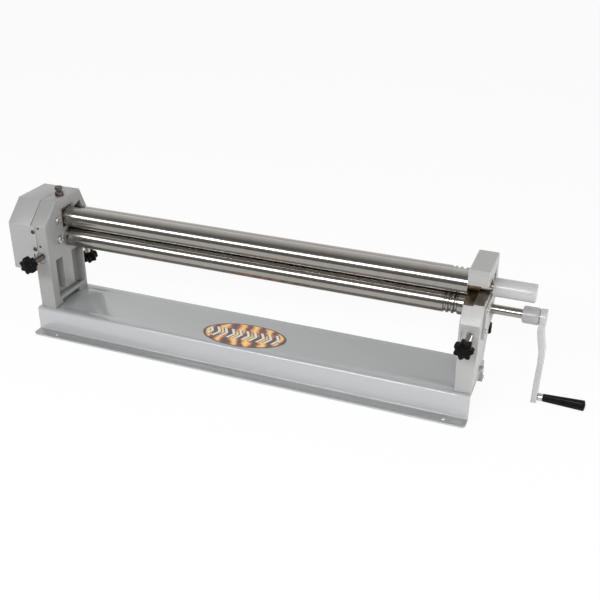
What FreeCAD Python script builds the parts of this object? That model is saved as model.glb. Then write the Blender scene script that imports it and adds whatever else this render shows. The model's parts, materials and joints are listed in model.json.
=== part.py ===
"""Hand-cranked three-roll slip roll machine, in millimetres.

X runs along the rolls (gear side -X, crank side +X), Y to the rear, Z up. The origin is on the floor
under the middle of the base channel.
"""
import FreeCAD, Part
import math
import os
import Sketcher

os.makedirs("parts", exist_ok=True)
doc = FreeCAD.newDocument("SlipRoll")
sheet = doc.addObject("Spreadsheet::Sheet", "Sizes")
V = FreeCAD.Vector

# ---------------------------------------------------------------- sizes and formulas


def number(size):
    """The plain value of a Size or of a number."""
    return size.value if isinstance(size, Size) else float(size)


def formula(size):
    """The spreadsheet formula of a Size or of a number."""
    return size.formula if isinstance(size, Size) else f"({float(size)!r})"


class Size:
    """A length, ratio or angle, with the formula of sheet cells that gives it."""

    def __init__(self, value, text):
        self.value = float(value)
        self.formula = text

    def __add__(self, other):
        return Size(self.value + number(other), f"({self.formula} + {formula(other)})")

    def __radd__(self, other):
        return self + other

    def __sub__(self, other):
        return Size(self.value - number(other), f"({self.formula} - {formula(other)})")

    def __rsub__(self, other):
        return -self + other

    def __mul__(self, other):
        return Size(self.value * number(other), f"({self.formula} * {formula(other)})")

    def __rmul__(self, other):
        return self * other

    def __truediv__(self, other):
        return Size(self.value / number(other), f"({self.formula} / {formula(other)})")

    def __neg__(self):
        return Size(-self.value, f"(0 - {self.formula})")


def sine(angle):
    """The sine of an angle in degrees."""
    return Size(math.sin(math.radians(number(angle))), f"sin({formula(angle)} * 1 deg)")


def cosine(angle):
    """The cosine of an angle in degrees."""
    return Size(math.cos(math.radians(number(angle))), f"cos({formula(angle)} * 1 deg)")


def driving(alias, value):
    """Write one driving dimension into the sheet and return it as a Size."""
    driving.row += 1
    sheet.set(f"A{driving.row}", alias)
    sheet.set(f"B{driving.row}", str(value))
    sheet.setAlias(f"B{driving.row}", alias)
    return Size(value, f"Sizes.{alias}")


driving.row = 0

# Rolls
working_length = driving("working_length", 914)
roll_dia = driving("roll_dia", 46)
pinch_gap = driving("pinch_gap", 1)
rear_gap = driving("rear_gap", 5.07)
rear_drop_angle = driving("rear_drop_angle", 18.26)
roll_y = driving("roll_y", 18)
upper_z = driving("upper_z", 253)
journal_r = driving("journal_r", 9.5)
upper_journal_r = driving("upper_journal_r", 11)
bush_wall = driving("bush_wall", 2.5)
running_gap = driving("running_gap", 0.05)
sliding_gap = driving("sliding_gap", 0.1)

# Castings and base
roll_end_gap = driving("roll_end_gap", 4)
casting_thickness = driving("casting_thickness", 38)
casting_front = driving("casting_front", 68)
casting_head = driving("casting_head", 48)
casting_round = driving("casting_round", 2.5)
foot_rear = driving("foot_rear", 62)
head_pad = driving("head_pad", 3)
foot_draft = driving("foot_draft", 4.5)
draft_low = driving("draft_low", 18)
base_left_margin = driving("base_left_margin", 6)
base_right_inset = driving("base_right_inset", 3.5)
base_half_depth = driving("base_half_depth", 76)
base_height = driving("base_height", 57)
base_flange = driving("base_flange", 28)
base_sheet = driving("base_sheet", 4)
outer_bend = driving("outer_bend", 7)
plate_thickness = driving("plate_thickness", 4)
cover_depth = driving("cover_depth", 57)
cover_sheet = driving("cover_sheet", 2)

# Height setting of the lower roll
lift_travel = driving("lift_travel", 3.5)
wedge_slope = driving("wedge_slope", 0.25)
block_floor = driving("block_floor", 7)
screw_r = driving("screw_r", 6)
screw_tip_r = driving("screw_tip_r", 4)
screw_drop = driving("screw_drop", 3)
left_knob_reach = driving("left_knob_reach", 48)
right_knob_reach = driving("right_knob_reach", 54)
block_width = driving("block_width", 40)

# Slanted slots of the rear roll
slot_tilt = driving("slot_tilt", 18.5)
slot_block_wall = driving("slot_block_wall", 1.1)
slot_past_screw = driving("slot_past_screw", 3)
slot_up = driving("slot_up", 35)
slot_down = driving("slot_down", 40)
slot_boss = driving("slot_boss", 16)
rear_knob_reach = driving("rear_knob_reach", 131)

# Drive
gear_teeth = 15
gear_slack = driving("gear_slack", 2)
gear_face = driving("gear_face", 10)
crank_radius = driving("crank_radius", 177)
grip_length = driving("grip_length", 81)
knob_dia = driving("knob_dia", 39)
knob_depth = driving("knob_depth", 20)
knob_lobe_r = driving("knob_lobe_r", 5)
knob_neck = driving("knob_neck", 5)
knob_grip = driving("knob_grip_depth", 10)
handle_length = driving("handle_length", 80)
handle_dia = driving("handle_dia", 36.8)

# Derived places
roll_r = roll_dia / 2
half_roll = working_length / 2
face_in = half_roll + roll_end_gap
face_out = face_in + casting_thickness
lower_z = upper_z - roll_dia - pinch_gap
rear_y = roll_y + (roll_dia + rear_gap) * cosine(rear_drop_angle)
rear_z = upper_z - (roll_dia + rear_gap) * sine(rear_drop_angle)
plate_out = face_out + plate_thickness
knob_x = face_in + casting_thickness / 2
lower_bush_r = journal_r + bush_wall
rear_bush_r = lower_bush_r + 0.5
slot_width = 2 * (rear_bush_r + slot_block_wall)
wedge_mid_z = lower_z - lower_bush_r - block_floor
screw_z = wedge_mid_z - screw_drop
head_in = face_in - head_pad
foot_out = face_out - foot_draft
base_left = face_out + base_left_margin
base_right = face_out - base_right_inset

# ---------------------------------------------------------------- building helpers

pieces = {}


def bind(obj, prop, size):
    """Tie a property to the sheet."""
    obj.setExpression(prop, formula(size))


def place(obj, x, y, z, turn=FreeCAD.Rotation()):
    """Turn an object, then tie the place of its origin to the sheet."""
    obj.Placement = FreeCAD.Placement(V(number(x), number(y), number(z)), turn)
    bind(obj, "Placement.Base.x", x)
    bind(obj, "Placement.Base.y", y)
    bind(obj, "Placement.Base.z", z)
    return obj


def keep(node, obj):
    """Make an object one of the sub-parts, under its node name."""
    obj.Label = node
    pieces[node] = obj
    return obj


def new(kind, hint="piece"):
    """Add an object of that kind to the document."""
    return doc.addObject(kind, hint)


def x_turn():
    """Turns a local Z axis onto +X."""
    return FreeCAD.Rotation(V(0, 0, 1), V(1, 0, 0))


def towards(x, y, z):
    """Turns a local X axis onto a direction."""
    return FreeCAD.Rotation(V(1, 0, 0), V(x, y, z))


def slant():
    """Turns local Y and Z onto the slanted slot's width and length."""
    return FreeCAD.Rotation(V(1, 0, 0), number(slot_tilt))


def on_slot(along, across):
    """The Y and Z of a point on the slanted slot, from the rear roll's rest axis."""
    y = rear_y - along * sine(slot_tilt) + across * cosine(slot_tilt)
    z = rear_z + along * cosine(slot_tilt) + across * sine(slot_tilt)
    return y, z


def pin(sketch, line, end, across, up):
    """Tie one end of a sketch line, or a circle's centre, to the sheet."""
    for kind, axis, size in (("DistanceX", -2, across), ("DistanceY", -1, up)):
        if abs(number(size)) < 1e-9:
            sketch.addConstraint(Sketcher.Constraint("PointOnObject", line, end, axis))
            continue
        index = sketch.addConstraint(Sketcher.Constraint(kind, -1, 1, line, end, number(size)))
        bind(sketch, f"Constraints[{index}]", size)


def draw(sketch, shape):
    """Draw a polygon, given as a list of corners, or a circle, given as (across, up, radius)."""
    first = sketch.GeometryCount
    if isinstance(shape, tuple):
        across, up, radius = shape
        circle = Part.Circle(V(number(across), number(up), 0), V(0, 0, 1), number(radius))
        sketch.addGeometry(circle, False)
        pin(sketch, first, 3, across, up)
        index = sketch.addConstraint(Sketcher.Constraint("Radius", first, number(radius)))
        bind(sketch, f"Constraints[{index}]", radius)
        return
    corners = [V(number(across), number(up), 0) for across, up in shape]
    count = len(corners)
    for i in range(count):
        sketch.addGeometry(Part.LineSegment(corners[i], corners[(i + 1) % count]), False)
    for i in range(count):
        joined = Sketcher.Constraint("Coincident", first + i, 2, first + (i + 1) % count, 1)
        sketch.addConstraint(joined)
    for i, (across, up) in enumerate(shape):
        pin(sketch, first + i, 1, across, up)


def new_sketch(body, plane, start, shapes):
    """A sketch on one of the body's origin planes, moved along the plane's normal by start."""
    sketch = body.newObject("Sketcher::SketchObject", f"{body.Name}_sketch")
    support = [f for f in body.Origin.OriginFeatures if f.Role == plane][0]
    sketch.AttachmentSupport = [(support, "")]
    sketch.MapMode = "FlatFace"
    bind(sketch, "AttachmentOffset.Base.z", start)
    for shape in shapes:
        draw(sketch, shape)
    return sketch


def extrude(body, plane, shapes, start, length, cut=False):
    """Pad or pocket shapes from start along the plane's normal."""
    sketch = new_sketch(body, plane, start, shapes)
    kind = "PartDesign::Pocket" if cut else "PartDesign::Pad"
    feature = body.newObject(kind, f"{body.Name}_{'cut' if cut else 'pad'}")
    feature.Profile = sketch
    feature.Reversed = cut
    bind(feature, "Length", length)
    return feature


def revolve(body, shapes, cut=False):
    """Turn shapes, drawn as (along X, radius), round the body's X axis."""
    sketch = new_sketch(body, "XZ_Plane", 0, shapes)
    kind = "PartDesign::Groove" if cut else "PartDesign::Revolution"
    feature = body.newObject(kind, f"{body.Name}_turn")
    feature.Profile = sketch
    feature.ReferenceAxis = (sketch, ["H_Axis"])
    feature.Angle = 360
    return feature


def round_edges(body, radius, wanted):
    """Fillet the edges of the body for which wanted(edge) is true."""
    doc.recompute()
    tip = body.Tip
    names = [f"Edge{i + 1}" for i, edge in enumerate(tip.Shape.Edges) if wanted(edge)]
    fillet = body.newObject("PartDesign::Fillet", f"{body.Name}_fillet")
    fillet.Base = (tip, names)
    bind(fillet, "Radius", radius)
    return fillet


def turned(node, steps, x, y, z, turn=FreeCAD.Rotation(), bore=0):
    """A turned piece along local X. steps is a list of (end, radius) after the first start value."""
    start, *rest = steps
    outline = [(start, bore)]
    at = start
    for end, radius in rest:
        outline += [(at, radius), (end, radius)]
        at = end
    outline.append((at, bore))
    body = new("PartDesign::Body", node)
    revolve(body, [outline])
    place(body, x, y, z, turn)
    return keep(node, body)


def cylinder(radius, length, x, y, z, turn=FreeCAD.Rotation()):
    """A round bar that starts at x, y, z and runs up, or along the turned axis."""
    obj = new("Part::Cylinder", "bar")
    bind(obj, "Radius", radius)
    bind(obj, "Height", length)
    return place(obj, x, y, z, turn)


def box(x0, x1, y0, y1, z0, z1):
    """A square block between two corners."""
    obj = new("Part::Box", "block")
    bind(obj, "Length", Size(0, "0") + x1 - x0)
    bind(obj, "Width", Size(0, "0") + y1 - y0)
    bind(obj, "Height", Size(0, "0") + z1 - z0)
    return place(obj, x0, y0, z0)


def hexagon(across_flats, height, x, y, z, turn=FreeCAD.Rotation()):
    """A hexagon bar that starts at x, y, z and runs up, or along the turned axis."""
    obj = new("Part::Prism", "hexagon")
    obj.Polygon = 6
    bind(obj, "Circumradius", across_flats / (2 * cosine(30)))
    bind(obj, "Height", height)
    return place(obj, x, y, z, turn)


def fuse(*parts):
    """Join shapes into one."""
    obj = new("Part::MultiFuse", "joined")
    obj.Shapes = list(parts)
    return obj


def subtract(base, *tools):
    """Cut every tool out of the base."""
    obj = new("Part::Cut", "cut")
    obj.Base = base
    obj.Tool = tools[0] if len(tools) == 1 else fuse(*tools)
    return obj


def group(node, parts):
    """Identical loose solids that share one node."""
    obj = new("Part::Compound", node)
    obj.Links = list(parts)
    return keep(node, obj)


def rectangle(y0, y1, z0, z1):
    """The four corners of an upright rectangle seen along X."""
    return [(y0, z0), (y1, z0), (y1, z1), (y0, z1)]


def span(side, near, far):
    """Start and length along X of a stretch between two distances from the middle."""
    return (near, far - near) if side > 0 else (-far, far - near)


# ---------------------------------------------------------------- frame: base and castings

swivel_bolt_r = driving("swivel_bolt_r", 6)
swivel_pin_r = driving("swivel_pin_r", 4)
swivel_bush_r = driving("swivel_bush_r", 14)
swivel_half_width = driving("swivel_half_width", 18)
head_top = upper_z + casting_head
shoulder_z = upper_z + 4
foot_bolt_fronts = (-52, 46)
foot_bolt_r = driving("foot_bolt_r", 5)
foot_bolt_flats = driving("foot_bolt_flats", 16)
through_screw_r = driving("through_screw_r", 3)
foot_bolt_depth = driving("foot_bolt_depth", 16)
bolt_clearance = driving("bolt_clearance", 4)
flange_hole_x = driving("flange_hole_x", 450)
flange_hole_r = driving("flange_hole_r", 4.5)
foot_bolt_x = face_in + 14


def make_base():
    """Folded hat channel with flange holes and holes for the foot bolts."""
    body = new("PartDesign::Body", "base")
    side = base_half_depth
    inner = side - base_sheet
    brim = side + base_flange
    under = base_height - base_sheet
    hat = [(-brim, 0), (-inner, 0), (-inner, under), (inner, under), (inner, 0), (brim, 0),
           (brim, base_sheet), (side, base_sheet), (side, base_height), (-side, base_height),
           (-side, base_sheet), (-brim, base_sheet)]
    extrude(body, "YZ_Plane", [hat], -base_left, base_left + base_right)

    def fold(y, z):
        """Picks the bend line at that height and distance from the middle."""
        def wanted(edge):
            lies_along = abs(edge.BoundBox.XLength - number(base_left + base_right)) < 1e-3
            there = abs(abs(edge.BoundBox.YMin) - number(y)) < 1e-3
            return lies_along and there and abs(edge.BoundBox.ZMin - number(z)) < 1e-3
        return wanted

    inner_bend = outer_bend - base_sheet
    round_edges(body, outer_bend, fold(side, base_height))
    round_edges(body, inner_bend, fold(inner, under))
    round_edges(body, inner_bend, fold(side, base_sheet))
    round_edges(body, outer_bend, fold(inner, 0))
    mid_flange = base_half_depth + base_flange / 2 + 2
    holes = [(x, y, flange_hole_r) for x in (-flange_hole_x, flange_hole_x)
             for y in (-mid_flange, mid_flange)]
    extrude(body, "XY_Plane", holes, -1, base_sheet + 2, cut=True)
    bolts = [(x, y, foot_bolt_r + 0.5) for x in (-foot_bolt_x, foot_bolt_x)
             for y in foot_bolt_fronts]
    extrude(body, "XY_Plane", bolts, under - 1, base_sheet + 2, cut=True)
    keep("base_channel", body)


def make_label():
    """Oval sticker, slightly askew on the base."""
    oval = new("Part::Ellipse", "oval")
    bind(oval, "MajorRadius", driving("label_length", 190) / 2)
    bind(oval, "MinorRadius", driving("label_depth", 96) / 2)
    sticker = new("Part::Extrusion", "sticker")
    sticker.Base = oval
    sticker.Dir = V(0, 0, 1)
    sticker.DirMode = "Custom"
    sticker.Solid = True
    bind(sticker, "LengthFwd", driving("label_thickness", 0.3))
    askew = FreeCAD.Rotation(V(0, 0, 1), 4)
    place(sticker, -9, -20, base_height, askew)
    keep("base_label", sticker)


pocket_near = driving("pocket_web", 5)
channel_front = driving("channel_front", -24)
channel_rear = driving("channel_rear", 48)
wedge_front = driving("wedge_front", -6)
wedge_rear = driving("wedge_rear", 46)
wedge_bottom = screw_z - 10
block_top = lower_z + roll_r - 3
window_floor = upper_z - roll_r + 2


def wedge_top(y):
    """Height of the wedge's slope at rest."""
    return wedge_mid_z - wedge_slope * (y - roll_y)


channel_top = wedge_top(wedge_front) + 1.5
keeper_screws_rear = ((53, screw_z - 4), (49, upper_z - 27))
keeper_screws_front = ((-30, lower_z - 26), (-30, upper_z - 27))
through_screws = ((-22, upper_z + 4), (-22, upper_z - 41))


def slot_polygon(up, down):
    """The slanted slot's outline between two distances along it from the rear roll's rest axis."""
    half = slot_width / 2
    return [on_slot(up, -half), on_slot(up, half), on_slot(-down, half), on_slot(-down, -half)]


rear_lean = Size(14.28, "14.28")


def on_casting_rear(along, out):
    """A point on the casting's slanted rear face: distance down it, and distance off it."""
    y = rear_y + 28.5 + along * sine(rear_lean) + out * cosine(rear_lean)
    z = upper_z - 6 - along * cosine(rear_lean) + out * sine(rear_lean)
    return y, z


def casting_outline(side):
    """A casting seen along X: the closed left head, or the right one with its open slot's front."""
    rear = [(rear_y + 28.5, upper_z - 6), (rear_y + 42.5, upper_z - 61), (foot_rear, upper_z - 76),
            (foot_rear, base_height)]
    if side < 0:
        front = [(-casting_front, base_height), (-casting_front, shoulder_z),
                 (-casting_front + 45, head_top), (rear_y + 5.5, head_top)]
        return front + rear
    sill = upper_z - cradle_r
    lip = roll_y - 39
    front = [(-casting_front, base_height), (-casting_front, lower_z + 1), (-46, sill), (lip, sill),
             (lip, head_top - 13), (lip + 8, head_top - 5), (rear_y + 18.5, head_top - 5)]
    return front + rear


cradle_r = driving("sleeve_r", 13) + sliding_gap
saddle_sheet = driving("saddle_sheet", 3)
saddle_width = driving("saddle_width", 20)
slot_blind = casting_thickness / 2 + screw_r + slot_past_screw
window_depth = casting_thickness - driving("window_web", 6)
window_half = driving("window_half", 20.5)
window_head = driving("window_head", 24.5)
journal_hole_r = driving("journal_hole_r", 15)
spot_face_r = driving("spot_face_r", 14)
spot_face_depth = driving("spot_face_depth", 4)
blind_hole_r = driving("blind_hole_r", 2.5)
blind_hole_depth = driving("blind_hole_depth", 10)
keeper_front, keeper_rear = -40, 58
recess_depth = driving("recess_depth", 20)
recess_front, column_front, column_rear, recess_rear = -45, -19, 15, 55
arch_front, arch_rear = -38, 30
arch_height = driving("arch_height", 10)
swivel_gap = driving("swivel_end_gap", 3)
swivel_half = (window_depth - 2 * swivel_gap) / 2
swivel_x = face_in + swivel_gap + swivel_half
keeper_screw_r = driving("keeper_screw_r", 2.5)
side_bolt_r = driving("side_bolt_r", 4)
side_bolt_y = 20
side_bolt_z = base_height + 8.5
cover_screw_r = driving("cover_screw_r", 1.8)
scoop_r = driving("scoop_r", 50)
scoop_depth = driving("scoop_depth", 4)
cover_screw_x = -face_out + 6
cover_front = -casting_front - cover_sheet
cover_raise = driving("cover_raise", 90)


def make_casting(side, node):
    """One casting: bearing pocket, wedge channel, slanted slot and ribbed recesses inside."""
    body = new("PartDesign::Body", "casting")
    inner = face_in if side < 0 else head_in
    start, length = span(side, inner, face_out)
    extrude(body, "YZ_Plane", [casting_outline(side)], start, length)
    round_edges(body, casting_round, profile_edge)

    def pocket(shapes, near, far):
        at, deep = span(side, near, far)
        extrude(body, "YZ_Plane", shapes, at, deep, cut=True)

    web = face_in + pocket_near
    half_pocket = block_width / 2 + sliding_gap
    pocket([rectangle(roll_y - half_pocket, roll_y + half_pocket, channel_top - 1, block_top + 1)],
           web, face_out)
    pocket([rectangle(channel_front, channel_rear, wedge_bottom, channel_top)], web, face_out)
    hole = lower_bush_r + 0.6
    pocket([rectangle(roll_y - hole, roll_y + hole, lower_z - lift_travel, lower_z)], inner, web)
    pocket([(roll_y, lower_z, hole)], inner, web)
    pocket([(roll_y, lower_z - lift_travel, hole)], inner, web)
    low = base_height + draft_low
    high = wedge_bottom - 6
    joined = low + 13
    recess = [(recess_front, low), (recess_rear, low), (recess_rear, high), (column_rear, high),
              (column_rear, joined), (column_front, joined), (column_front, high), (recess_front, high)]
    arch = rectangle(arch_front, arch_rear, base_height, base_height + arch_height)
    pocket([recess], inner, face_in + recess_depth)
    pocket([arch], inner, face_in + recess_depth)
    pocket([(y, z, keeper_screw_r + running_gap) for y, z in keeper_screws_rear],
           face_out - 8, face_out)
    x = side * knob_x
    extrude(body, "XZ_Plane", [(x, screw_z, screw_r + running_gap)], -channel_front,
            casting_front + channel_front + 1, cut=True)
    feet = [(side * foot_bolt_x, y, foot_bolt_r + running_gap) for y in foot_bolt_fronts]
    extrude(body, "XY_Plane", feet, base_height, foot_bolt_depth + bolt_clearance, cut=True)
    screw_hole = cylinder(screw_r + running_gap, slot_boss + 4, x,
                          *on_slot(-(slot_down + slot_boss + 2), 0), slant())
    if side < 0:
        pocket([slot_polygon(slot_up, slot_down)], face_in, face_in + slot_blind)
        window = rectangle(roll_y - window_half, roll_y + window_half, window_floor,
                           upper_z + window_head)
        pocket([window], face_in, face_in + window_depth)
        pocket([(roll_y, upper_z, journal_hole_r)], face_in + window_depth, face_out)
        pocket([(y, z, through_screw_r + running_gap) for y, z in through_screws], face_in, face_out)
        extrude(body, "XY_Plane", [(-swivel_x, roll_y, swivel_bolt_r + running_gap)],
                upper_z + 24, casting_head, cut=True)
        extrude(body, "XY_Plane", [(-swivel_x, roll_y, swivel_pin_r + running_gap)],
                block_top, window_floor - block_top + 1, cut=True)
        extrude(body, "XZ_Plane", [(-knob_x, screw_z - 4, spot_face_r)],
                casting_front - spot_face_depth, spot_face_depth + 2, cut=True)
        fronts = [(-knob_x, z, blind_hole_r) for z in (upper_z - 1, upper_z - 44)]
        extrude(body, "XZ_Plane", fronts, casting_front - blind_hole_depth, blind_hole_depth + 2,
                cut=True)
        return keep(node, subtract(body, screw_hole, *cover_screw_holes()))
    pocket([slot_polygon(slot_up, slot_down)], inner, face_out)
    sill = upper_z - cradle_r
    roof = upper_z + cradle_r + 1
    pocket([rectangle(-60, roll_y, sill, roof)], inner, face_out)
    pocket([rectangle(-60, roll_y, sill - saddle_sheet, roof)], inner, inner + saddle_width)
    pocket([(roll_y, upper_z, cradle_r)], inner, face_out)
    pocket([(y, z, keeper_screw_r + running_gap) for y, z in keeper_screws_front],
           face_out - 8, face_out)
    pocket([(side_bolt_y, side_bolt_z, side_bolt_r + running_gap)], face_out - 18, face_out)
    scoop = cylinder(scoop_r, casting_thickness - 4, face_in + 2, -casting_front - scoop_r + scoop_depth,
                     screw_z, x_turn())
    seat = cylinder(cradle_r + saddle_sheet, saddle_width, inner, roll_y, upper_z, x_turn())
    seat.Angle = 180
    return keep(node, subtract(body, screw_hole, scoop, seat, *draft_tools()))


def draft_tools():
    """Tools that slope both faces of the right casting inwards, down to its foot."""
    low = base_height + draft_low
    high = wedge_bottom - 8
    inside = [(head_in - 1, base_height - 1), (face_in, base_height - 1), (face_in, low),
              (head_in, high), (head_in - 1, high)]
    outside = [(face_out + 1, base_height - 1), (foot_out, base_height - 1), (foot_out, low),
               (face_out, high), (face_out + 1, high)]
    tools = []
    for outline in (inside, outside):
        body = new("PartDesign::Body", "draft")
        extrude(body, "XZ_Plane", [outline], -(rear_y + 60), rear_y + 60 + casting_front + 20)
        tools.append(body)
    return tools


def profile_edge(edge):
    """Edges round the outline of a casting's outer face, apart from the foot."""
    bounds = edge.BoundBox
    on_outer_face = bounds.XLength < 1e-3 and abs(abs(bounds.XMin) - number(face_out)) < 1e-3
    above_foot = bounds.ZMin > number(base_height) - 1 and bounds.ZMax > number(wedge_bottom) / 2
    return on_outer_face and above_foot


def make_saddle():
    """Wear plate with a half-round seat in the right casting's open slot."""
    sill = upper_z - cradle_r
    far = head_in + saddle_width
    floor = box(head_in, far, -46, roll_y, sill - saddle_sheet, sill)
    outer = cylinder(cradle_r + saddle_sheet, saddle_width, head_in, roll_y, upper_z, x_turn())
    outer.Angle = 180
    inner = cylinder(cradle_r, saddle_width + 2, head_in - 1, roll_y, upper_z, x_turn())
    keep("slot_saddle", subtract(fuse(floor, outer), inner))


def make_foot_bolts(side, node):
    """Hex bolts from under the base up into a casting's feet."""
    under = base_height - base_sheet
    bolts = []
    for y in foot_bolt_fronts:
        x = side * foot_bolt_x
        head = hexagon(foot_bolt_flats, 7, x, y, under - 7)
        shank = cylinder(foot_bolt_r, foot_bolt_depth + base_sheet + 2, x, y, under - 2)
        bolts.append(fuse(head, shank))
    group(node, bolts)


def cap_screw(radius, head_r, head, length, x, y, z, direction):
    """A socket cap screw whose head sits at x, y, z and whose shank runs along direction."""
    body = new("PartDesign::Body", "cap_screw")
    outline = [(-head, 0), (-head, head_r), (0, head_r), (0, radius), (length, radius), (length, 0)]
    revolve(body, [outline])
    socket = radius * 0.9
    revolve(body, [[(-head, 0), (-head, socket), (-head / 2, socket), (-head / 2, 0)]], cut=True)
    place(body, x, y, z, towards(*direction))
    return body


def make_keeper_plates():
    """Plates that close the bearing pockets on the outer faces."""
    hole = lower_bush_r + 0.6
    obround = rectangle(roll_y - hole, roll_y + hole, lower_z - lift_travel, lower_z)
    low = wedge_bottom - 8
    for side, node, top in ((-1, "left_keeper_plate", upper_z + 27),
                            (1, "right_keeper_plate", lower_z + 27)):
        body = new("PartDesign::Body", "keeper")
        at, thick = span(side, face_out, plate_out)
        extrude(body, "YZ_Plane", [rectangle(keeper_front, keeper_rear, low, top)], at, thick)
        for shape in (obround, (roll_y, lower_z, hole), (roll_y, lower_z - lift_travel, hole)):
            extrude(body, "YZ_Plane", [shape], at, thick, cut=True)
        clear = keeper_screw_r + 0.2
        rear = [(y, z, clear) for y, z in keeper_screws_rear]
        if side < 0:
            front = [(y, z, through_screw_r + running_gap) for y, z in through_screws]
            extrude(body, "YZ_Plane", [(roll_y, upper_z, journal_hole_r)], at, thick, cut=True)
        else:
            front = [(y, z, clear) for y, z in keeper_screws_front]
        extrude(body, "YZ_Plane", front + rear, at, thick, cut=True)
        keep(node, body)
    shank = plate_thickness + 7.5
    left = [cap_screw(keeper_screw_r, 4.5, 4, shank, -plate_out, y, z, (1, 0, 0))
            for y, z in keeper_screws_rear]
    through = casting_thickness + plate_thickness
    left += [cap_screw(through_screw_r, 6, 3, through, -face_in, y, z, (-1, 0, 0))
             for y, z in through_screws]
    group("left_keeper_screws", left)
    right = [cap_screw(keeper_screw_r, 4.5, 2.5, shank, plate_out, y, z, (-1, 0, 0))
             for y, z in keeper_screws_rear + keeper_screws_front]
    group("right_keeper_screws", right)


def make_cover():
    """Box-shaped gear cover whose front and rear walls lap over the left casting."""
    body = new("PartDesign::Body", "cover")
    far = face_out + cover_depth
    front = cover_front
    low = base_height + cover_raise
    outer = [(front, low), (front, shoulder_z), (-casting_front + 45, head_top),
             (rear_y + 5.5, head_top), (rear_y + 28.5 + cover_sheet, upper_z - 6),
             (rear_y + 42.5 + cover_sheet, upper_z - 61), (rear_y + 4, low)]
    w = cover_sheet
    inner = [(front + w, low + w), (front + w, shoulder_z - 1), (-casting_front + 46, head_top - w),
             (rear_y + 4.5, head_top - w), (rear_y + 28.5, upper_z - 6.4),
             (rear_y + 42.3, upper_z - 60.6), (rear_y + 3, low + w)]
    extrude(body, "YZ_Plane", [outer], -far, cover_depth)
    extrude(body, "YZ_Plane", [inner], -far + w, cover_depth, cut=True)
    lap = driving("cover_lap", 11)
    tab = rectangle(front, -casting_front, lower_z - 16, shoulder_z)
    extrude(body, "YZ_Plane", [tab], -face_out, lap)
    rear_tab = [on_casting_rear(8, 0.05), on_casting_rear(8, w), on_casting_rear(50, w),
                on_casting_rear(50, 0.05)]
    extrude(body, "YZ_Plane", [rear_tab], -face_out, lap)
    keep("gear_cover", subtract(body, *cover_screw_holes()))
    shank = cover_sheet + 8
    group("gear_cover_screws", [cap_screw(cover_screw_r, 3.5, 2, shank, cover_screw_x, y, z, way)
                                for y, z, way in cover_screw_places()])


def cover_screw_places():
    """Y, Z and direction of the cover's screws, on its front and rear laps."""
    front = [(cover_front, z, (0, 1, 0)) for z in (upper_z - 10, lower_z - 4)]
    inwards = (0, -cosine(rear_lean).value, -sine(rear_lean).value)
    return front + [on_casting_rear(along, cover_sheet) + (inwards,) for along in (16, 42)]


def cover_screw_holes():
    """Tools for the holes of the cover's screws, through the laps and into the casting."""
    tools = []
    for y, z, way in cover_screw_places():
        turn = FreeCAD.Rotation(V(0, 0, 1), V(*way))
        back = V(*way) * -1
        tools.append(cylinder(cover_screw_r + running_gap, cover_sheet + 10, cover_screw_x,
                              y + back.y, z + back.z, turn))
    return tools


def make_swivel_pivots():
    """Clamp bolt and lock nut on the casting's top, and the pin under the swivel block."""
    z = upper_z + 15.6
    shank = head_top - z + 14
    tip = swivel_bolt_r - 1
    turned("swivel_bolt_shank", [0, (10, tip), (shank, swivel_bolt_r)], -swivel_x, roll_y, z,
           towards(0, 0, 1))
    head = hexagon(driving("swivel_head_flats", 16), 7, -swivel_x, roll_y, z + shank)
    keep("swivel_bolt", fuse(pieces.pop("swivel_bolt_shank"), head))
    nut = hexagon(driving("swivel_nut_flats", 18), 9, -swivel_x, roll_y, head_top)
    bore = cylinder(swivel_bolt_r + running_gap, 12, -swivel_x, roll_y, head_top - 1)
    keep("swivel_lock_nut", subtract(nut, bore))
    low = block_top + 1.5
    turned("swivel_pivot_pin", [0, (window_floor + 6 - low, swivel_pin_r)], -swivel_x, roll_y, low,
           towards(0, 0, 1))
    head = hexagon(driving("side_bolt_flats", 13), 8, foot_out, side_bolt_y, side_bolt_z,
                   x_turn())
    shank = cylinder(side_bolt_r, 14, foot_out - 12, side_bolt_y, side_bolt_z, x_turn())
    keep("right_foot_side_bolt", fuse(head, shank))


# ---------------------------------------------------------------- rolls


def add_wire_grooves(body):
    """Three rounded wire grooves near the roll's right end."""
    for x, radius in ((-21, 4), (-32, 3.5), (-42, 3)):
        revolve(body, [(half_roll + x, roll_r + 0.6, radius)], cut=True)


def shaft_keyseat(body, radius, x):
    """Keyseat of the gear's key in a journal's top."""
    seat = rectangle(-key_half, key_half, radius - key_sunk, radius + 1)
    extrude(body, "YZ_Plane", [seat], x, gear_face, cut=True)


gear_standoff = driving("gear_standoff", 4)
key_half = driving("key_half_width", 2)
key_sunk = driving("key_sunk", 2.2)
gear_x = plate_out + gear_standoff
ring_sheet = driving("ring_sheet", 1.5)
ring_seat = 1.2
ring_gap = 0.06


def gear_end(radius):
    """The shaft's gear end, and the journal sections from there past the ring groove."""
    ring_x = -gear_x - gear_face
    return ring_x - ring_sheet - 3, [(ring_x - ring_sheet, radius), (ring_x, radius - ring_seat)]


def make_roll(node, start, left, right, y, z, grooved):
    """A roll with stepped journals. left and right list (end, radius) sections from start along X."""
    outline = [(start, 0)]
    at = start
    for end, radius in left + [(half_roll, roll_r)] + right:
        outline += [(at, radius), (end, radius)]
        at = end
    outline.append((at, 0))
    body = new("PartDesign::Body", "roll")
    revolve(body, [outline])
    if grooved:
        add_wire_grooves(body)
    place(body, 0, y, z)
    return keep(node, body)


hub_x = face_out + 65
hub_length = driving("hub_length", 32)
hub_r = driving("hub_r", 17)
eye_x = hub_x + hub_length + 1
eye_length = driving("eye_length", 12)


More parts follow.
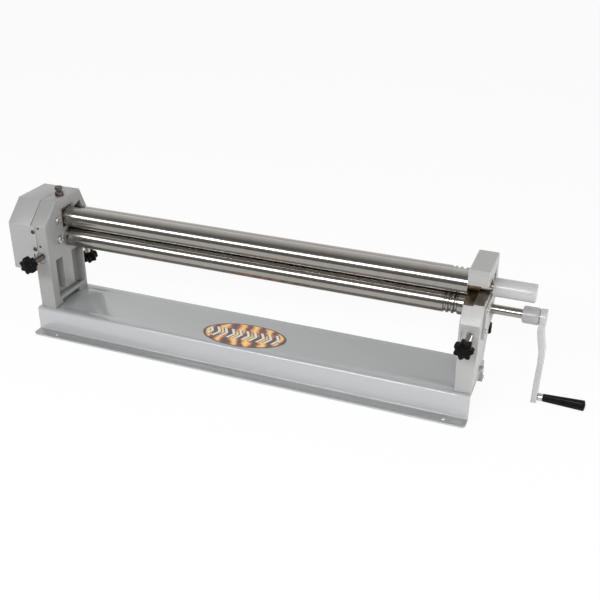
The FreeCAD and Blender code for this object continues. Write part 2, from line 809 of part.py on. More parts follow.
def make_rolls():
    """Lower, upper and rear roll. Only the lower and the rear one have wire grooves."""
    start, steps = gear_end(journal_r)
    left = steps + [(-half_roll, journal_r)]
    lower = make_roll("lower_roll", start, left, [(eye_x + eye_length, journal_r)], roll_y, lower_z, True)
    shaft_keyseat(lower, journal_r, -gear_x - gear_face)
    start, steps = gear_end(upper_journal_r)
    left = steps + [(-half_roll, upper_journal_r)]
    neck = [(handle_x, journal_r), (handle_x + spigot_length, spigot_r)]
    upper = make_roll("upper_roll", start, left, neck, roll_y, upper_z, False)
    shaft_keyseat(upper, upper_journal_r, -gear_x - gear_face)
    rear_end = face_in + rear_block_depth
    left = [(-half_roll, journal_r)]
    make_roll("rear_roll", -rear_end, left, [(rear_end, journal_r)], rear_y, rear_z, True)


handle_x = face_out + 5
spigot_r = driving("spigot_r", 8)
spigot_length = driving("spigot_length", 46)
rear_block_depth = slot_blind - 2


def sleeve(node, inner, outer, start, end, y, z):
    """A plain bush along X."""
    return turned(node, [start, (end, outer)], 0, y, z, bore=inner)


def make_bushes():
    """Bushes, the thrust washer and the upper roll's sleeve, one per journal."""
    bore = journal_r + running_gap
    washer = driving("thrust_washer_sheet", 2)
    roll_face = half_roll + 0.3
    sleeve("lower_thrust_washer", bore, roll_r + 0.4, -roll_face - washer, -roll_face, roll_y, lower_z)
    sleeve("lower_bush_left", bore, lower_bush_r, -face_out + 1, -roll_face - washer, roll_y, lower_z)
    sleeve("lower_bush_right", bore, lower_bush_r, half_roll + 0.5, plate_out + 1, roll_y, lower_z)
    rear_end = face_in + rear_block_depth
    sleeve("rear_bush_left", bore, rear_bush_r, -rear_end, -half_roll - 0.5, rear_y, rear_z)
    sleeve("rear_bush_right", bore, rear_bush_r, half_roll + 0.5, rear_end, rear_y, rear_z)
    sleeve_r = cradle_r - sliding_gap
    sleeve("upper_right_sleeve", bore, sleeve_r, half_roll, head_in + saddle_width, roll_y, upper_z)
    near = -swivel_x + swivel_half
    flange = [near - 2 * swivel_half, (near, swivel_bush_r), (near + 4, swivel_bush_r + 3)]
    turned("swivel_bush", flange, 0, roll_y, upper_z, bore=upper_journal_r + running_gap)


def make_swivel_block():
    """Block that turns about a vertical axis and carries the upper roll's left journal."""
    top = upper_z + 21
    block = box(-swivel_x - swivel_half, -swivel_x + swivel_half, roll_y - swivel_half_width,
                roll_y + swivel_half_width, window_floor, top)
    bore = cylinder(swivel_bush_r + running_gap, 2 * swivel_half + 2, -swivel_x - swivel_half - 1,
                    roll_y, upper_z, x_turn())
    low = cylinder(swivel_pin_r + running_gap, 7.2, -swivel_x, roll_y, window_floor - 1)
    high = cylinder(swivel_bolt_r - 1 + running_gap, 8, -swivel_x, roll_y, upper_z + 15.4)
    keep("swivel_block", subtract(block, bore, low, high))


def make_lower_bearings():
    """Blocks on slanted wedges; the front screws draw the wedges to lower the roll."""
    near = face_in + pocket_near + 1
    far = face_out - 1
    half = block_width / 2
    for side, end in ((-1, "left"), (1, "right")):
        at, deep = span(side, near, far)
        block = new("PartDesign::Body", "lower_block")
        front = roll_y - half
        rear = roll_y + half
        shape = [(front, wedge_top(front) + running_gap), (rear, wedge_top(rear) + running_gap),
                 (rear, block_top), (front, block_top)]
        extrude(block, "YZ_Plane", [shape], at, deep)
        bore = (roll_y, lower_z, lower_bush_r + running_gap)
        extrude(block, "YZ_Plane", [bore], at, deep, cut=True)
        keep(f"lower_block_{end}", block)
        wedge = new("PartDesign::Body", "wedge")
        shape = [(wedge_front, wedge_bottom), (wedge_rear, wedge_bottom),
                 (wedge_rear, wedge_top(wedge_rear)), (wedge_front, wedge_top(wedge_front))]
        extrude(wedge, "YZ_Plane", [shape], at, deep)
        x = side * knob_x
        hole = (x, screw_z, screw_tip_r + running_gap)
        extrude(wedge, "XZ_Plane", [hole], -(wedge_front + 10), 11, cut=True)
        keep(f"wedge_{end}", wedge)
        knob_y = -casting_front - (left_knob_reach if side < 0 else right_knob_reach)
        length = wedge_front + 9 - knob_y
        screw = [0, (length - 9, screw_r), (length, screw_tip_r)]
        turned(f"front_{end}_screw", screw, x, knob_y, screw_z, towards(0, 1, 0))
        star_knob(f"front_{end}_knob", x, knob_y, screw_z, towards(0, -1, 0))


def star_knob(node, x, y, z, turn):
    """A seven-lobed star knob whose back face is at x, y, z and whose boss covers the screw's end."""
    body = new("PartDesign::Body", "knob")
    core = knob_dia / 2 - knob_lobe_r + 0.5
    outline = [(-knob_neck, screw_r + running_gap), (-knob_neck, core - 3), (0, core),
               (knob_depth - 3, core), (knob_depth, core - 4), (knob_depth, 0), (knob_grip, 0),
               (knob_grip, screw_r + running_gap)]
    revolve(body, [outline])
    lobe = extrude(body, "YZ_Plane", [(knob_dia / 2 - knob_lobe_r, 0, knob_lobe_r)], 0, knob_depth - 2)
    pattern = body.newObject("PartDesign::PolarPattern", "lobes")
    pattern.Originals = [lobe]
    axis = [f for f in body.Origin.OriginFeatures if f.Role == "X_Axis"][0]
    pattern.Axis = (axis, [""])
    pattern.Angle = 360
    pattern.Occurrences = 7
    body.Tip = pattern
    seat = turn.multVec(V(-number(knob_grip), 0, 0))
    place(body, x + seat.x, y + seat.y, z + seat.z, turn)
    return keep(node, body)


def make_rear_bearings():
    """Blocks that slide in the slanted slots, pushed by screws from below."""
    half = slot_width / 2 - sliding_gap
    low = 15
    tilt = number(slot_tilt)
    down = (0, math.sin(math.radians(tilt)), -math.cos(math.radians(tilt)))
    for side, end in ((-1, "left"), (1, "right")):
        at, deep = span(side, face_in + 1, face_in + rear_block_depth if side < 0 else face_out - 2)
        block = new("PartDesign::Body", "rear_block")
        shape = [on_slot(-low, -half), on_slot(-low, half), on_slot(low, half), on_slot(low, -half)]
        extrude(block, "YZ_Plane", [shape], at, deep)
        bore = (rear_y, rear_z, rear_bush_r + running_gap)
        extrude(block, "YZ_Plane", [bore], at, deep, cut=True)
        keep(f"rear_block_{end}", block)
        x = side * knob_x
        length = rear_knob_reach - low
        turned(f"rear_{end}_screw", [0, (length, screw_r)], x, *on_slot(-low, 0), towards(*down))
        star_knob(f"rear_{end}_knob", x, *on_slot(-rear_knob_reach, 0), towards(*down))


# ---------------------------------------------------------------- drive


def involute(angle):
    """The involute function of an angle in radians."""
    return math.tan(angle) - angle


def gear_outline(teeth, module, tip_r, root_r):
    """Involute tooth outline with pressure angle 20 degrees, as points round the gear."""
    base_r = module * teeth / 2 * math.cos(math.radians(20))
    half_pitch = math.pi / (2 * teeth) + involute(math.radians(20))
    flank = []
    for i in range(7):
        radius = base_r + (tip_r - base_r) * i / 6
        flank.append((radius, half_pitch - involute(math.acos(base_r / radius))))
    flank.insert(0, (root_r, flank[0][1] + 0.02))
    points = []
    for tooth in range(teeth):
        middle = 2 * math.pi * tooth / teeth
        sides = [(r, middle - a) for r, a in flank] + [(r, middle + a) for r, a in reversed(flank)]
        points += [V(0, r * math.cos(a), r * math.sin(a)) for r, a in sides]
    return points


def make_gear(node, radius, z, phase):
    """A spur gear on a journal, with a keyway at the top of its bore."""
    centres = number(roll_dia + pinch_gap)
    module = (centres - number(gear_slack)) / gear_teeth
    tip_r = centres / 2 + module * 0.85
    root_r = centres - tip_r - 0.6
    points = gear_outline(gear_teeth, module, tip_r, root_r)
    wire = Part.makePolygon(points + points[:1])
    solid = Part.Face(wire).extrude(V(number(gear_face), 0, 0))
    solid.rotate(V(0, 0, 0), V(1, 0, 0), phase)
    bore_r = number(radius + running_gap)
    bore = Part.makeCylinder(bore_r, number(gear_face), V(0, 0, 0), V(1, 0, 0))
    half = number(key_half) + 0.05
    keyway = Part.makeBox(number(gear_face), 2 * half, 2.2, V(0, -half, bore_r - 0.4))
    feature = new("Part::Feature", "gear")
    feature.Shape = solid.cut(bore).cut(keyway)
    place(feature, -gear_x - gear_face, roll_y, z)
    return keep(node, feature)


def make_gear_train():
    """Meshed gears, their keys and retaining rings, on the left journals."""
    left = -gear_x - gear_face
    step = 360 / gear_teeth
    for name, radius, z, phase in (("lower", journal_r, lower_z, 90), ("upper", upper_journal_r,
                                                                       upper_z, 90 + step / 2 - 180)):
        make_gear(f"{name}_gear", radius, z, phase)
        low = z + radius - key_sunk + 0.02
        key = box(left, left + gear_face, roll_y - key_half + 0.02, roll_y + key_half - 0.02, low,
                  low + 2 * key_half - 0.2)
        keep(f"{name}_gear_key", key)
        seat = radius - ring_seat + ring_gap
        sleeve(f"{name}_gear_ring", seat, radius + 4, left - ring_sheet + 0.02, left - 0.02, roll_y, z)


def make_crank():
    """Hub, bent arm, spindle and turning grip, hanging straight down."""
    bore = journal_r + running_gap
    hub = [hub_x, (hub_x + 2, hub_r - 1.5), (hub_x + hub_length - 2, hub_r),
           (hub_x + hub_length, hub_r - 1.5)]
    turned("crank_hub_blank", hub, 0, roll_y, lower_z, bore=bore)
    hole = cylinder(3 + running_gap, hub_r, hub_x + hub_length / 2, roll_y, lower_z + 1)
    keep("crank_hub", subtract(pieces.pop("crank_hub_blank"), hole))
    screw = cap_screw(driving("hub_screw_r", 3), 2.99, 1, hub_r - journal_r - 2.2,
                      hub_x + hub_length / 2, roll_y, lower_z + hub_r - 1.5, (0, 0, -1))
    keep("crank_set_screw", screw)
    grip_z = lower_z - crank_radius
    arm = new("PartDesign::Body", "arm")
    half = driving("arm_thickness", 11.5) / 2
    middle = eye_x + eye_length / 2
    bends = [(middle, lower_z), (middle - 2, lower_z - 26), (middle + 6.5, lower_z - 71),
             (middle + 7, lower_z - 96), (middle + 5.5, lower_z - 146), (middle + 5, grip_z - 10)]
    outline = [(x - half, z) for x, z in bends] + [(x + half, z) for x, z in reversed(bends)]
    width = driving("arm_width", 29)
    extrude(arm, "XZ_Plane", [outline], -(roll_y + width / 2), width)
    taper = driving("arm_taper", 4)
    far = middle + 40
    narrow = width / 2 - taper
    round_edges(arm, 30, bend_edge)
    eye = cylinder(hub_r, eye_length, eye_x, roll_y, lower_z, x_turn())
    top = wedge_side(far, narrow, width, grip_z, 1)
    rear = wedge_side(far, narrow, width, grip_z, -1)
    shaft = cylinder(bore, eye_length + 20, eye_x - 10, roll_y, lower_z, x_turn())
    pin_hole = cylinder(spindle_r + running_gap, 40, eye_x - 10, roll_y, grip_z, x_turn())
    body = fuse(subtract(arm, top, rear), eye)
    keep("crank_arm", subtract(body, shaft, pin_hole))
    make_grip(middle + 5, half, grip_z)


def wedge_side(far, narrow, width, grip_z, side):
    """A tool that tapers one side of the crank arm towards its lower end."""
    body = new("PartDesign::Body", "taper")
    wide = side * (width / 2)
    high = lower_z - 20
    shape = [(roll_y + wide, high), (roll_y + side * narrow, grip_z - 20),
             (roll_y + wide * 2, grip_z - 20), (roll_y + wide * 2, high)]
    extrude(body, "YZ_Plane", [shape], far - 100, 150)
    return body


def bend_edge(edge):
    """Edges across the crank arm where it bends."""
    bounds = edge.BoundBox
    across = bounds.XLength < 1e-3 and bounds.ZLength < 1e-3
    return across and number(lower_z) - 1 > bounds.ZMin > number(lower_z - crank_radius)


spindle_r = driving("spindle_r", 4)
grip_small = driving("grip_small_r", 7.9)
grip_large = driving("grip_large_r", 10.8)
ferrule_r = driving("ferrule_r", 8)
ferrule_length = driving("ferrule_length", 9.5)
grip_facets = 12


def make_grip(arm_x, half, z):
    """Spindle riveted in the arm, ferrule, and the faceted grip that turns on the spindle."""
    start = arm_x + half
    ferrule_end = start + 0.5 + ferrule_length
    end = ferrule_end + 0.3 + grip_length
    spindle = [arm_x - half, (end + 0.3, spindle_r), (end + 1.5, spindle_r + 1.5)]
    turned("grip_spindle", spindle, 0, roll_y, z)
    sleeve("grip_ferrule", spindle_r + running_gap, ferrule_r, start + 0.5, ferrule_end, roll_y, z)
    body = new("PartDesign::Body", "grip")
    loft = body.newObject("PartDesign::AdditiveLoft", "grip_loft")
    rings = []
    for x, radius in ((0, grip_small), (grip_length, grip_large)):
        corners = []
        for i in range(grip_facets):
            angle = 15 + 360 / grip_facets * i
            corners.append((radius * round(math.cos(math.radians(angle)), 6),
                            radius * round(math.sin(math.radians(angle)), 6)))
        rings.append(new_sketch(body, "YZ_Plane", x, [corners]))
    loft.Profile = rings[0]
    loft.Sections = [rings[1]]
    loft.Ruled = True
    bore = (0, 0, spindle_r + running_gap)
    extrude(body, "YZ_Plane", [bore], 0, grip_length, cut=True)
    place(body, ferrule_end + 0.3, roll_y, z)
    keep("crank_grip", body)


def make_handle():
    """Release handle on the upper roll's right end, with its set screw."""
    end = handle_x + handle_length
    r = handle_dia / 2
    steps = [0, (1.5, r - 1.2), (handle_length - 1.5, r), (handle_length, r - 1.2)]
    turned("handle_blank", steps, handle_x, roll_y, upper_z)
    bore = cylinder(spigot_r + running_gap, spigot_length + 1, handle_x - 1, roll_y, upper_z, x_turn())
    across = FreeCAD.Rotation(V(0, 0, 1), V(0, 1, 0))
    hole = cylinder(3 + running_gap, r, handle_x + 14, roll_y + 1, upper_z, across)
    keep("release_handle", subtract(pieces.pop("handle_blank"), bore, hole))
    screw = cap_screw(driving("handle_screw_r", 3), 2.99, 1, r - spigot_r - 2.2, end - handle_length
                      + 14, roll_y + r - 1.5, upper_z, (0, -1, 0))
    keep("release_handle_screw", screw)


# ---------------------------------------------------------------- build, check and write

make_base()
make_label()
make_casting(-1, "left_casting")
make_casting(1, "right_casting")
make_saddle()
make_foot_bolts(-1, "left_foot_bolts")
make_foot_bolts(1, "right_foot_bolts")
make_keeper_plates()
make_cover()
make_swivel_pivots()
make_rolls()
make_bushes()
make_swivel_block()
make_lower_bearings()
make_rear_bearings()
make_gear_train()
make_crank()
make_handle()
doc.recompute()

for obj in doc.Objects:
    if "Invalid" in obj.State or "Error" in obj.State:
        raise RuntimeError(f"{obj.Name} ({obj.Label}) failed: {obj.State}")
    if obj.TypeId in ("PartDesign::Pocket", "PartDesign::Groove"):
        if obj.Shape.Volume > obj.BaseFeature.Shape.Volume - 0.01:
            raise RuntimeError(f"{obj.Name} in {obj.Label} cuts nothing")
for node, obj in pieces.items():
    if obj.Shape.isNull() or not obj.Shape.isValid():
        raise RuntimeError(f"{node} is not a valid shape")
for node, obj in pieces.items():
    obj.Shape.exportStep(f"parts/{node}.step")
    bounds = obj.Shape.BoundBox
    print(f"{node}: {len(obj.Shape.Solids)} solid(s), X {bounds.XMin:.1f}..{bounds.XMax:.1f}, "
          f"Y {bounds.YMin:.1f}..{bounds.YMax:.1f}, Z {bounds.ZMin:.1f}..{bounds.ZMax:.1f}")
print(len(pieces), "nodes")
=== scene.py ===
# %% [markdown]
# A slip roll curls sheet metal. Three long ground rolls lie between two grey castings on a folded
# base. The frame loaded here holds every working piece at its real size and place, in metres, with
# +X along the rolls towards the crank. This lesson gives those pieces their surfaces: enamel, ground
# steel, bronze, moulded plastic and a printed sticker.

# %% Load the frame
import bmesh
import bpy
import json
import math
from mathutils import Matrix, Vector


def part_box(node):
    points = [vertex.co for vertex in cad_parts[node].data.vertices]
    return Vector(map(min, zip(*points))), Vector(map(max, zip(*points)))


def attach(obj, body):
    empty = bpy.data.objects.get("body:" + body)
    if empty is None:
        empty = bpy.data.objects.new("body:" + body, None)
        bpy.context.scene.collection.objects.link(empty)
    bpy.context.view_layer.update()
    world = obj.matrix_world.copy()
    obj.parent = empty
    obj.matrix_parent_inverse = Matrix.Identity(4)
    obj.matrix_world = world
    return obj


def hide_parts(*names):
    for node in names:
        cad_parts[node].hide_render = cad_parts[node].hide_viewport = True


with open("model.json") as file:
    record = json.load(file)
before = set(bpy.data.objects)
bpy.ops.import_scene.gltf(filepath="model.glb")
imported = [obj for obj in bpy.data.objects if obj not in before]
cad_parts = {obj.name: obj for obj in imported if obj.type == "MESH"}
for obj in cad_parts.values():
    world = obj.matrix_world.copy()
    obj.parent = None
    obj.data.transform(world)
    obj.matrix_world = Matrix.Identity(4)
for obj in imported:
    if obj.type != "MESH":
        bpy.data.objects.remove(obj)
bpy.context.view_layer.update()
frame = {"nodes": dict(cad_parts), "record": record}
nodes = frame["nodes"]
print("pieces in the frame:", len(nodes))

# %% [markdown]
# The camera stands to the right of the crank end and looks down at the machine. A lens of about
# 52 mm on a 36 mm sensor keeps the long rolls from looking stretched. The camera's three axes are
# worked out from its compass angle, its downward angle and a very small roll, and written as a
# matrix, which is easier to check than three Euler angles.

# %% The camera
IMAGE_SIZE = 600
FOCAL_PIXELS = 864.0
SENSOR = 36.0
camera_azimuth = math.radians(20.97)
camera_drop = math.radians(27.32)
camera_roll = math.radians(0.43)
camera_place = Vector((0.6875, -1.5014, 0.9882))

ahead = Vector((-math.sin(camera_azimuth) * math.cos(camera_drop),
                math.cos(camera_azimuth) * math.cos(camera_drop), -math.sin(camera_drop)))
level = Vector((math.cos(camera_azimuth), math.sin(camera_azimuth), 0))
upward = level.cross(ahead)
right = level * math.cos(camera_roll) + upward * math.sin(camera_roll)
above = upward * math.cos(camera_roll) - level * math.sin(camera_roll)


def place_in_scene(name, data):
    """Make an object at the origin and link it to the scene."""
    made = bpy.data.objects.new(name, data)
    bpy.context.scene.collection.objects.link(made)
    return made


camera_data = bpy.data.cameras.new("studio_camera")
camera_data.sensor_width = SENSOR
camera_data.lens = FOCAL_PIXELS * SENSOR / IMAGE_SIZE
camera_data.clip_start = 0.05
camera_data.clip_end = 50
camera = place_in_scene("studio_camera", camera_data)
turn = Matrix((right, above, -ahead)).transposed().to_4x4()
camera.matrix_world = Matrix.Translation(camera_place) @ turn
bpy.context.scene.camera = camera
bpy.context.scene.view_settings.view_transform = "Standard"
print("lens, mm:", round(camera_data.lens, 1))

# %% [markdown]
# Node trees are easier to read when small helpers place the nodes. An input of a node is either a
# plain value or a wire, and a wire is written here as a pair: the node it comes from and the name or
# number of that node's output. The helpers for sums, colour mixes and ramps give such a pair back, so
# that one can feed the next.

# %% Helpers for node trees


def feed(tree, socket, value):
    """Set an input to a plain value, or wire a (node, output) pair into it."""
    if isinstance(value, tuple) and isinstance(value[0], bpy.types.Node):
        tree.links.new(value[0].outputs[value[1]], socket)
    else:
        socket.default_value = value


def add_node(tree, kind, inputs=None, **settings):
    """Add a node, set its properties, then fill its inputs, given by name or number."""
    node = tree.nodes.new(kind)
    for name, value in settings.items():
        setattr(node, name, value)
    for name, value in (inputs or {}).items():
        feed(tree, node.inputs[name], value)
    return node


def calc(tree, operation, first, second=0.0, clamp=False):
    """The result of a Math node."""
    node = add_node(tree, "ShaderNodeMath", {0: first, 1: second}, operation=operation, use_clamp=clamp)
    return node, 0


def blend(tree, factor, first, second):
    """A colour between two others."""
    return add_node(tree, "ShaderNodeMix", {0: factor, 6: first, 7: second}, data_type="RGBA"), 2


def between(tree, value, start, end, low=0.0, high=1.0):
    """A value's way from start to end, as a number from low to high."""
    span = {"Value": value, "From Min": start, "From Max": end, "To Min": low, "To Max": high}
    return add_node(tree, "ShaderNodeMapRange", span), "Result"


def ramp(tree, value, stops):
    """A colour read off a ramp of (position, colour) stops."""
    node = add_node(tree, "ShaderNodeValToRGB", {"Fac": value})
    elements = node.color_ramp.elements
    while len(elements) < len(stops):
        elements.new(0.5)
    for element, (position, color) in zip(elements, stops):
        element.position = position
        element.color = color
    return node, "Color"


def grey(value):
    return (value, value, value, 1)


def own_place(tree):
    return add_node(tree, "ShaderNodeTexCoord"), "Object"


def taken_apart(tree, vector):
    """A node with the X, Y and Z of a vector."""
    return add_node(tree, "ShaderNodeSeparateXYZ", {"Vector": vector})


def mirror_rays(tree, ray):
    """One for the rays that reach a surface by way of metal or glass."""
    return calc(tree, "MAXIMUM", (ray, "Is Glossy Ray"), (ray, "Is Transmission Ray"))


print("node helpers ready")

# %% [markdown]
# The studio is a pale floor and a white backdrop behind the machine. Ground steel shows whatever is
# round it, so the surround is shaded by the angle over the machine: white at the backdrop, dimmer
# overhead, and darkest low down on the camera's side. A light path test gives camera rays plain
# white everywhere, and gives mirror rays the same white on the backdrop, which curves up and fades out
# overhead.

# %% The surround
BACKDROP_FULL = 0.24
BACKDROP_END = 0.60
ANGLE_GLOW = [(0.0, 0.90), (0.14, 0.72), (0.26, 0.56), (0.36, 0.42), (0.45, 0.30), (0.60, 0.22),
              (0.78, 0.20), (0.93, 0.24), (1.0, 0.15)]

world = bpy.data.worlds.new("studio_surround")
bpy.context.scene.world = world
world.use_nodes = True
air = world.node_tree
air.nodes.clear()
parts = taken_apart(air, (add_node(air, "ShaderNodeTexCoord"), "Generated"))
over_angle = calc(air, "ARCTAN2", (parts, "Z"), (parts, "Y"))
half_turns = calc(air, "DIVIDE", over_angle, math.pi, clamp=True)
angle_shade = ramp(air, half_turns, [(at, grey(glow)) for at, glow in ANGLE_GLOW])
surround = add_node(air, "ShaderNodeBackground", {"Color": angle_shade})
plain_white = add_node(air, "ShaderNodeBackground", {"Color": grey(1), "Strength": 1.0})
ray = add_node(air, "ShaderNodeLightPath")
on_backdrop = between(air, half_turns, BACKDROP_END, BACKDROP_FULL)
mirrored = calc(air, "MULTIPLY", mirror_rays(air, ray), on_backdrop)
shows_white = calc(air, "MAXIMUM", (ray, "Is Camera Ray"), mirrored)
choose = add_node(air, "ShaderNodeMixShader",
                  {0: shows_white, 1: (surround, "Background"), 2: (plain_white, "Background")})
add_node(air, "ShaderNodeOutputWorld", {"Surface": (choose, "Shader")})
print("backdrop reaches, degrees:", round(180 * BACKDROP_END))

# %% The floor
FLOOR_RADIUS = 12.0
FLOOR_WHITE = 0.93
PAPER_END = -0.85
PAPER_FADE = 0.5
DARK_FLOOR = grey(0.06)

floor_mesh = bpy.data.meshes.new("studio_floor")
disc = bmesh.new()
bmesh.ops.create_circle(disc, cap_ends=True, segments=96, radius=FLOOR_RADIUS)
disc.to_mesh(floor_mesh)
disc.free()
floor = place_in_scene("studio_floor", floor_mesh)
floor_white = bpy.data.materials.new("floor_white")
floor_white.use_nodes = True
tree = floor_white.node_tree
tree.nodes.clear()
nearness = between(tree, (taken_apart(tree, own_place(tree)), "Y"), PAPER_END - PAPER_FADE, PAPER_END)
matt = add_node(tree, "ShaderNodeBsdfDiffuse", {"Color": blend(tree, nearness, DARK_FLOOR, grey(0.90))})
ray = add_node(tree, "ShaderNodeLightPath")
white_part = calc(tree, "MAXIMUM", nearness, (ray, "Is Camera Ray"))
glow = add_node(tree, "ShaderNodeEmission",
                {"Color": blend(tree, white_part, DARK_FLOOR, grey(1)), "Strength": 1.0})
either = calc(tree, "MAXIMUM", (ray, "Is Camera Ray"), mirror_rays(tree, ray))
seen = calc(tree, "MULTIPLY", either, FLOOR_WHITE)
cover = add_node(tree, "ShaderNodeMixShader", {0: seen, 1: (matt, "BSDF"), 2: (glow, "Emission")})
add_node(tree, "ShaderNodeOutputMaterial", {"Surface": (cover, "Shader")})
floor_mesh.materials.append(floor_white)
print("floor across, m:", 2 * FLOOR_RADIUS)

# %% [markdown]
# Three area lamps light the machine. Two softboxes hang end to end in front, above the camera, and
# draw the single white line along each roll. The left one is weak and reaches far out, because the
# rolls mirror that side towards the camera, while the castings there stay in softer light. The third
# stands at the crank end and brightens the end faces.

# %% The lamps
LAMPS = [
    ("left_softbox", (-1.55, -2.25, 1.70), (-0.65, 0, 0.15), (1.8, 0.60), 38),
    ("right_softbox", (0.25, -2.25, 1.70), (0.25, 0, 0.15), (1.8, 0.60), 47),
    ("crank_side_fill", (2.9, -0.45, 0.60), (0, 0, 0.15), (1.3, 1.3), 44),
]
for name, place, target, size, watts in LAMPS:
    lamp = bpy.data.lights.new(name, "AREA")
    lamp.shape = "RECTANGLE"
    lamp.size, lamp.size_y = size
    lamp.energy = watts
    holder = place_in_scene(name, lamp)
    holder.location = place
    holder.rotation_euler = (Vector(target) - Vector(place)).to_track_quat("-Z", "Y").to_euler()
print("lamps:", len(LAMPS))

# %% [markdown]
# Most finishes share a few effects, and each is a node group built once. `cloud_marks` gives slow
# blotches, where hands and oil change a surface a little. `fine_skin` gives the tiny waves of sprayed
# enamel or moulded plastic as a bump height. `turned_lines` gives the fine rings that a lathe or a
# grinder leaves round an axis along X. `worn_edges` finds corners, by comparing the true normal with
# the one a small bevel would have.

# %% Start a node group


def new_group(name, inputs, outputs):
    """A shader node group of float sockets, with its input node and its output node."""
    group = bpy.data.node_groups.new(name, "ShaderNodeTree")
    for label, value in inputs.items():
        socket = group.interface.new_socket(label, in_out="INPUT", socket_type="NodeSocketFloat")
        socket.default_value = value
    for label in outputs:
        group.interface.new_socket(label, in_out="OUTPUT", socket_type="NodeSocketFloat")
    return group, group.nodes.new("NodeGroupInput"), group.nodes.new("NodeGroupOutput")


def noise(tree, scale, detail, roughness=0.5):
    """Noise over the object coordinates."""
    inputs = {"Vector": own_place(tree), "Scale": scale, "Detail": detail, "Roughness": roughness}
    return add_node(tree, "ShaderNodeTexNoise", inputs), "Fac"


print("group helpers ready")

# %% Slow blotches
cloud_marks, ins, outs = new_group("cloud_marks", {"Scale": 14.0, "Contrast": 1.0}, ["Mask"])
spread = calc(cloud_marks, "SUBTRACT", noise(cloud_marks, (ins, "Scale"), 5.0, 0.55), 0.5)
stretched = calc(cloud_marks, "MULTIPLY", spread, (ins, "Contrast"))
feed(cloud_marks, outs.inputs["Mask"], calc(cloud_marks, "ADD", stretched, 0.5, clamp=True))
print("group:", cloud_marks.name)

# %% The skin of enamel and plastic
fine_skin, ins, outs = new_group(
    "fine_skin", {"Ripple scale": 260.0, "Grain scale": 2400.0, "Grain share": 0.2}, ["Height"])
ripple = noise(fine_skin, (ins, "Ripple scale"), 2.0)
grain = calc(fine_skin, "MULTIPLY", noise(fine_skin, (ins, "Grain scale"), 2.0), (ins, "Grain share"))
feed(fine_skin, outs.inputs["Height"], calc(fine_skin, "ADD", ripple, grain))
print("group:", fine_skin.name)

# %% Rings left by grinding
turned_lines, ins, outs = new_group(
    "turned_lines", {"Pitch scale": 1800.0, "Band scale": 60.0}, ["Fine", "Bands"])
apart = taken_apart(turned_lines, own_place(turned_lines))
for label, source in (("Fine", "Pitch scale"), ("Bands", "Band scale")):
    along = calc(turned_lines, "MULTIPLY", (apart, "X"), (ins, source))
    lines = add_node(turned_lines, "ShaderNodeTexNoise", {"W": along, "Scale": 1.0, "Detail": 4.0},
                     noise_dimensions="1D")
    feed(turned_lines, outs.inputs[label], (lines, "Fac"))
print("group:", turned_lines.name)

# %% Corners that wear
EDGE_GAIN = 6.0

worn_edges, ins, outs = new_group("worn_edges", {"Width": 0.0015, "Strength": 1.0}, ["Mask"])
true_normal = add_node(worn_edges, "ShaderNodeNewGeometry")
soft_normal = add_node(worn_edges, "ShaderNodeBevel", {"Radius": (ins, "Width")}, samples=4)
agreement = add_node(worn_edges, "ShaderNodeVectorMath",
                     {0: (true_normal, "Normal"), 1: (soft_normal, "Normal")}, operation="DOT_PRODUCT")
differ = calc(worn_edges, "SUBTRACT", 1.0, (agreement, "Value"))
broken = calc(worn_edges, "MULTIPLY", differ, noise(worn_edges, 160.0, 4.0, 0.7))
gained = calc(worn_edges, "MULTIPLY", broken, (ins, "Strength"))
feed(worn_edges, outs.inputs["Mask"], calc(worn_edges, "MULTIPLY", gained, EDGE_GAIN, clamp=True))
print("group:", worn_edges.name)

# %% [markdown]
# A material here starts from one Principled shader. Values that are the same all over sit on the
# shader's own sockets, and only what changes over the surface arrives through wires: a blotched
# colour, a gloss that varies a little, and a bump.

# %% Helpers for materials


def new_material(name, constants):
    """A material with one Principled shader whose constants are set on its own sockets."""
    material = bpy.data.materials.new(name)
    material.use_nodes = True
    tree = material.node_tree
    tree.nodes.clear()
    shader = add_node(tree, "ShaderNodeBsdfPrincipled", constants)
    add_node(tree, "ShaderNodeOutputMaterial", {"Surface": (shader, "BSDF")})
    return material, tree, shader


def group_value(tree, group, output, inputs):
    return add_node(tree, "ShaderNodeGroup", inputs, node_tree=group), output


def clouds(tree, scale, contrast):
    return group_value(tree, cloud_marks, "Mask", {"Scale": scale, "Contrast": contrast})


def skin_height(tree, ripple, grain, share=0.2):
    return group_value(tree, fine_skin, "Height",
                       {"Ripple scale": ripple, "Grain scale": grain, "Grain share": share})


def rubbed(tree, tone, width, strength, bare):
    """A colour with the corners of the piece rubbed to another."""
    edges = group_value(tree, worn_edges, "Mask", {"Width": width, "Strength": strength})
    return blend(tree, edges, tone, bare)


def dress(tree, shader, color, roughness, height, strength, distance):
    """Wire the three things that change over a surface into its shader."""
    bump = add_node(tree, "ShaderNodeBump",
                    {"Strength": strength, "Distance": distance, "Height": height})
    for name, value in (("Base Color", color), ("Roughness", roughness), ("Normal", (bump, "Normal"))):
        feed(tree, shader.inputs[name], value)


print("material helpers ready")

# %% Sprayed enamel
RUBBED_ENAMEL = (0.66, 0.66, 0.65, 1)


def enamel(name, color, darker, shine, peel, coat, gloss=0.5, blotches=1.3):
    """Grey enamel: blotches in colour and gloss, an orange-peel skin, edges rubbed pale."""
    material, tree, shader = new_material(name, {"Specular IOR Level": gloss, "Coat Weight": coat,
                                                 "Coat Roughness": 0.07})
    tint = blend(tree, clouds(tree, 9.0, blotches), (*darker, 1), (*color, 1))
    dullness = between(tree, clouds(tree, 34.0, blotches), 0, 1, shine - 0.03, shine + 0.05)
    dress(tree, shader, rubbed(tree, tint, 0.0012, 0.8, RUBBED_ENAMEL), dullness,
          skin_height(tree, 230.0, 1500.0), peel, 0.0004)
    return material


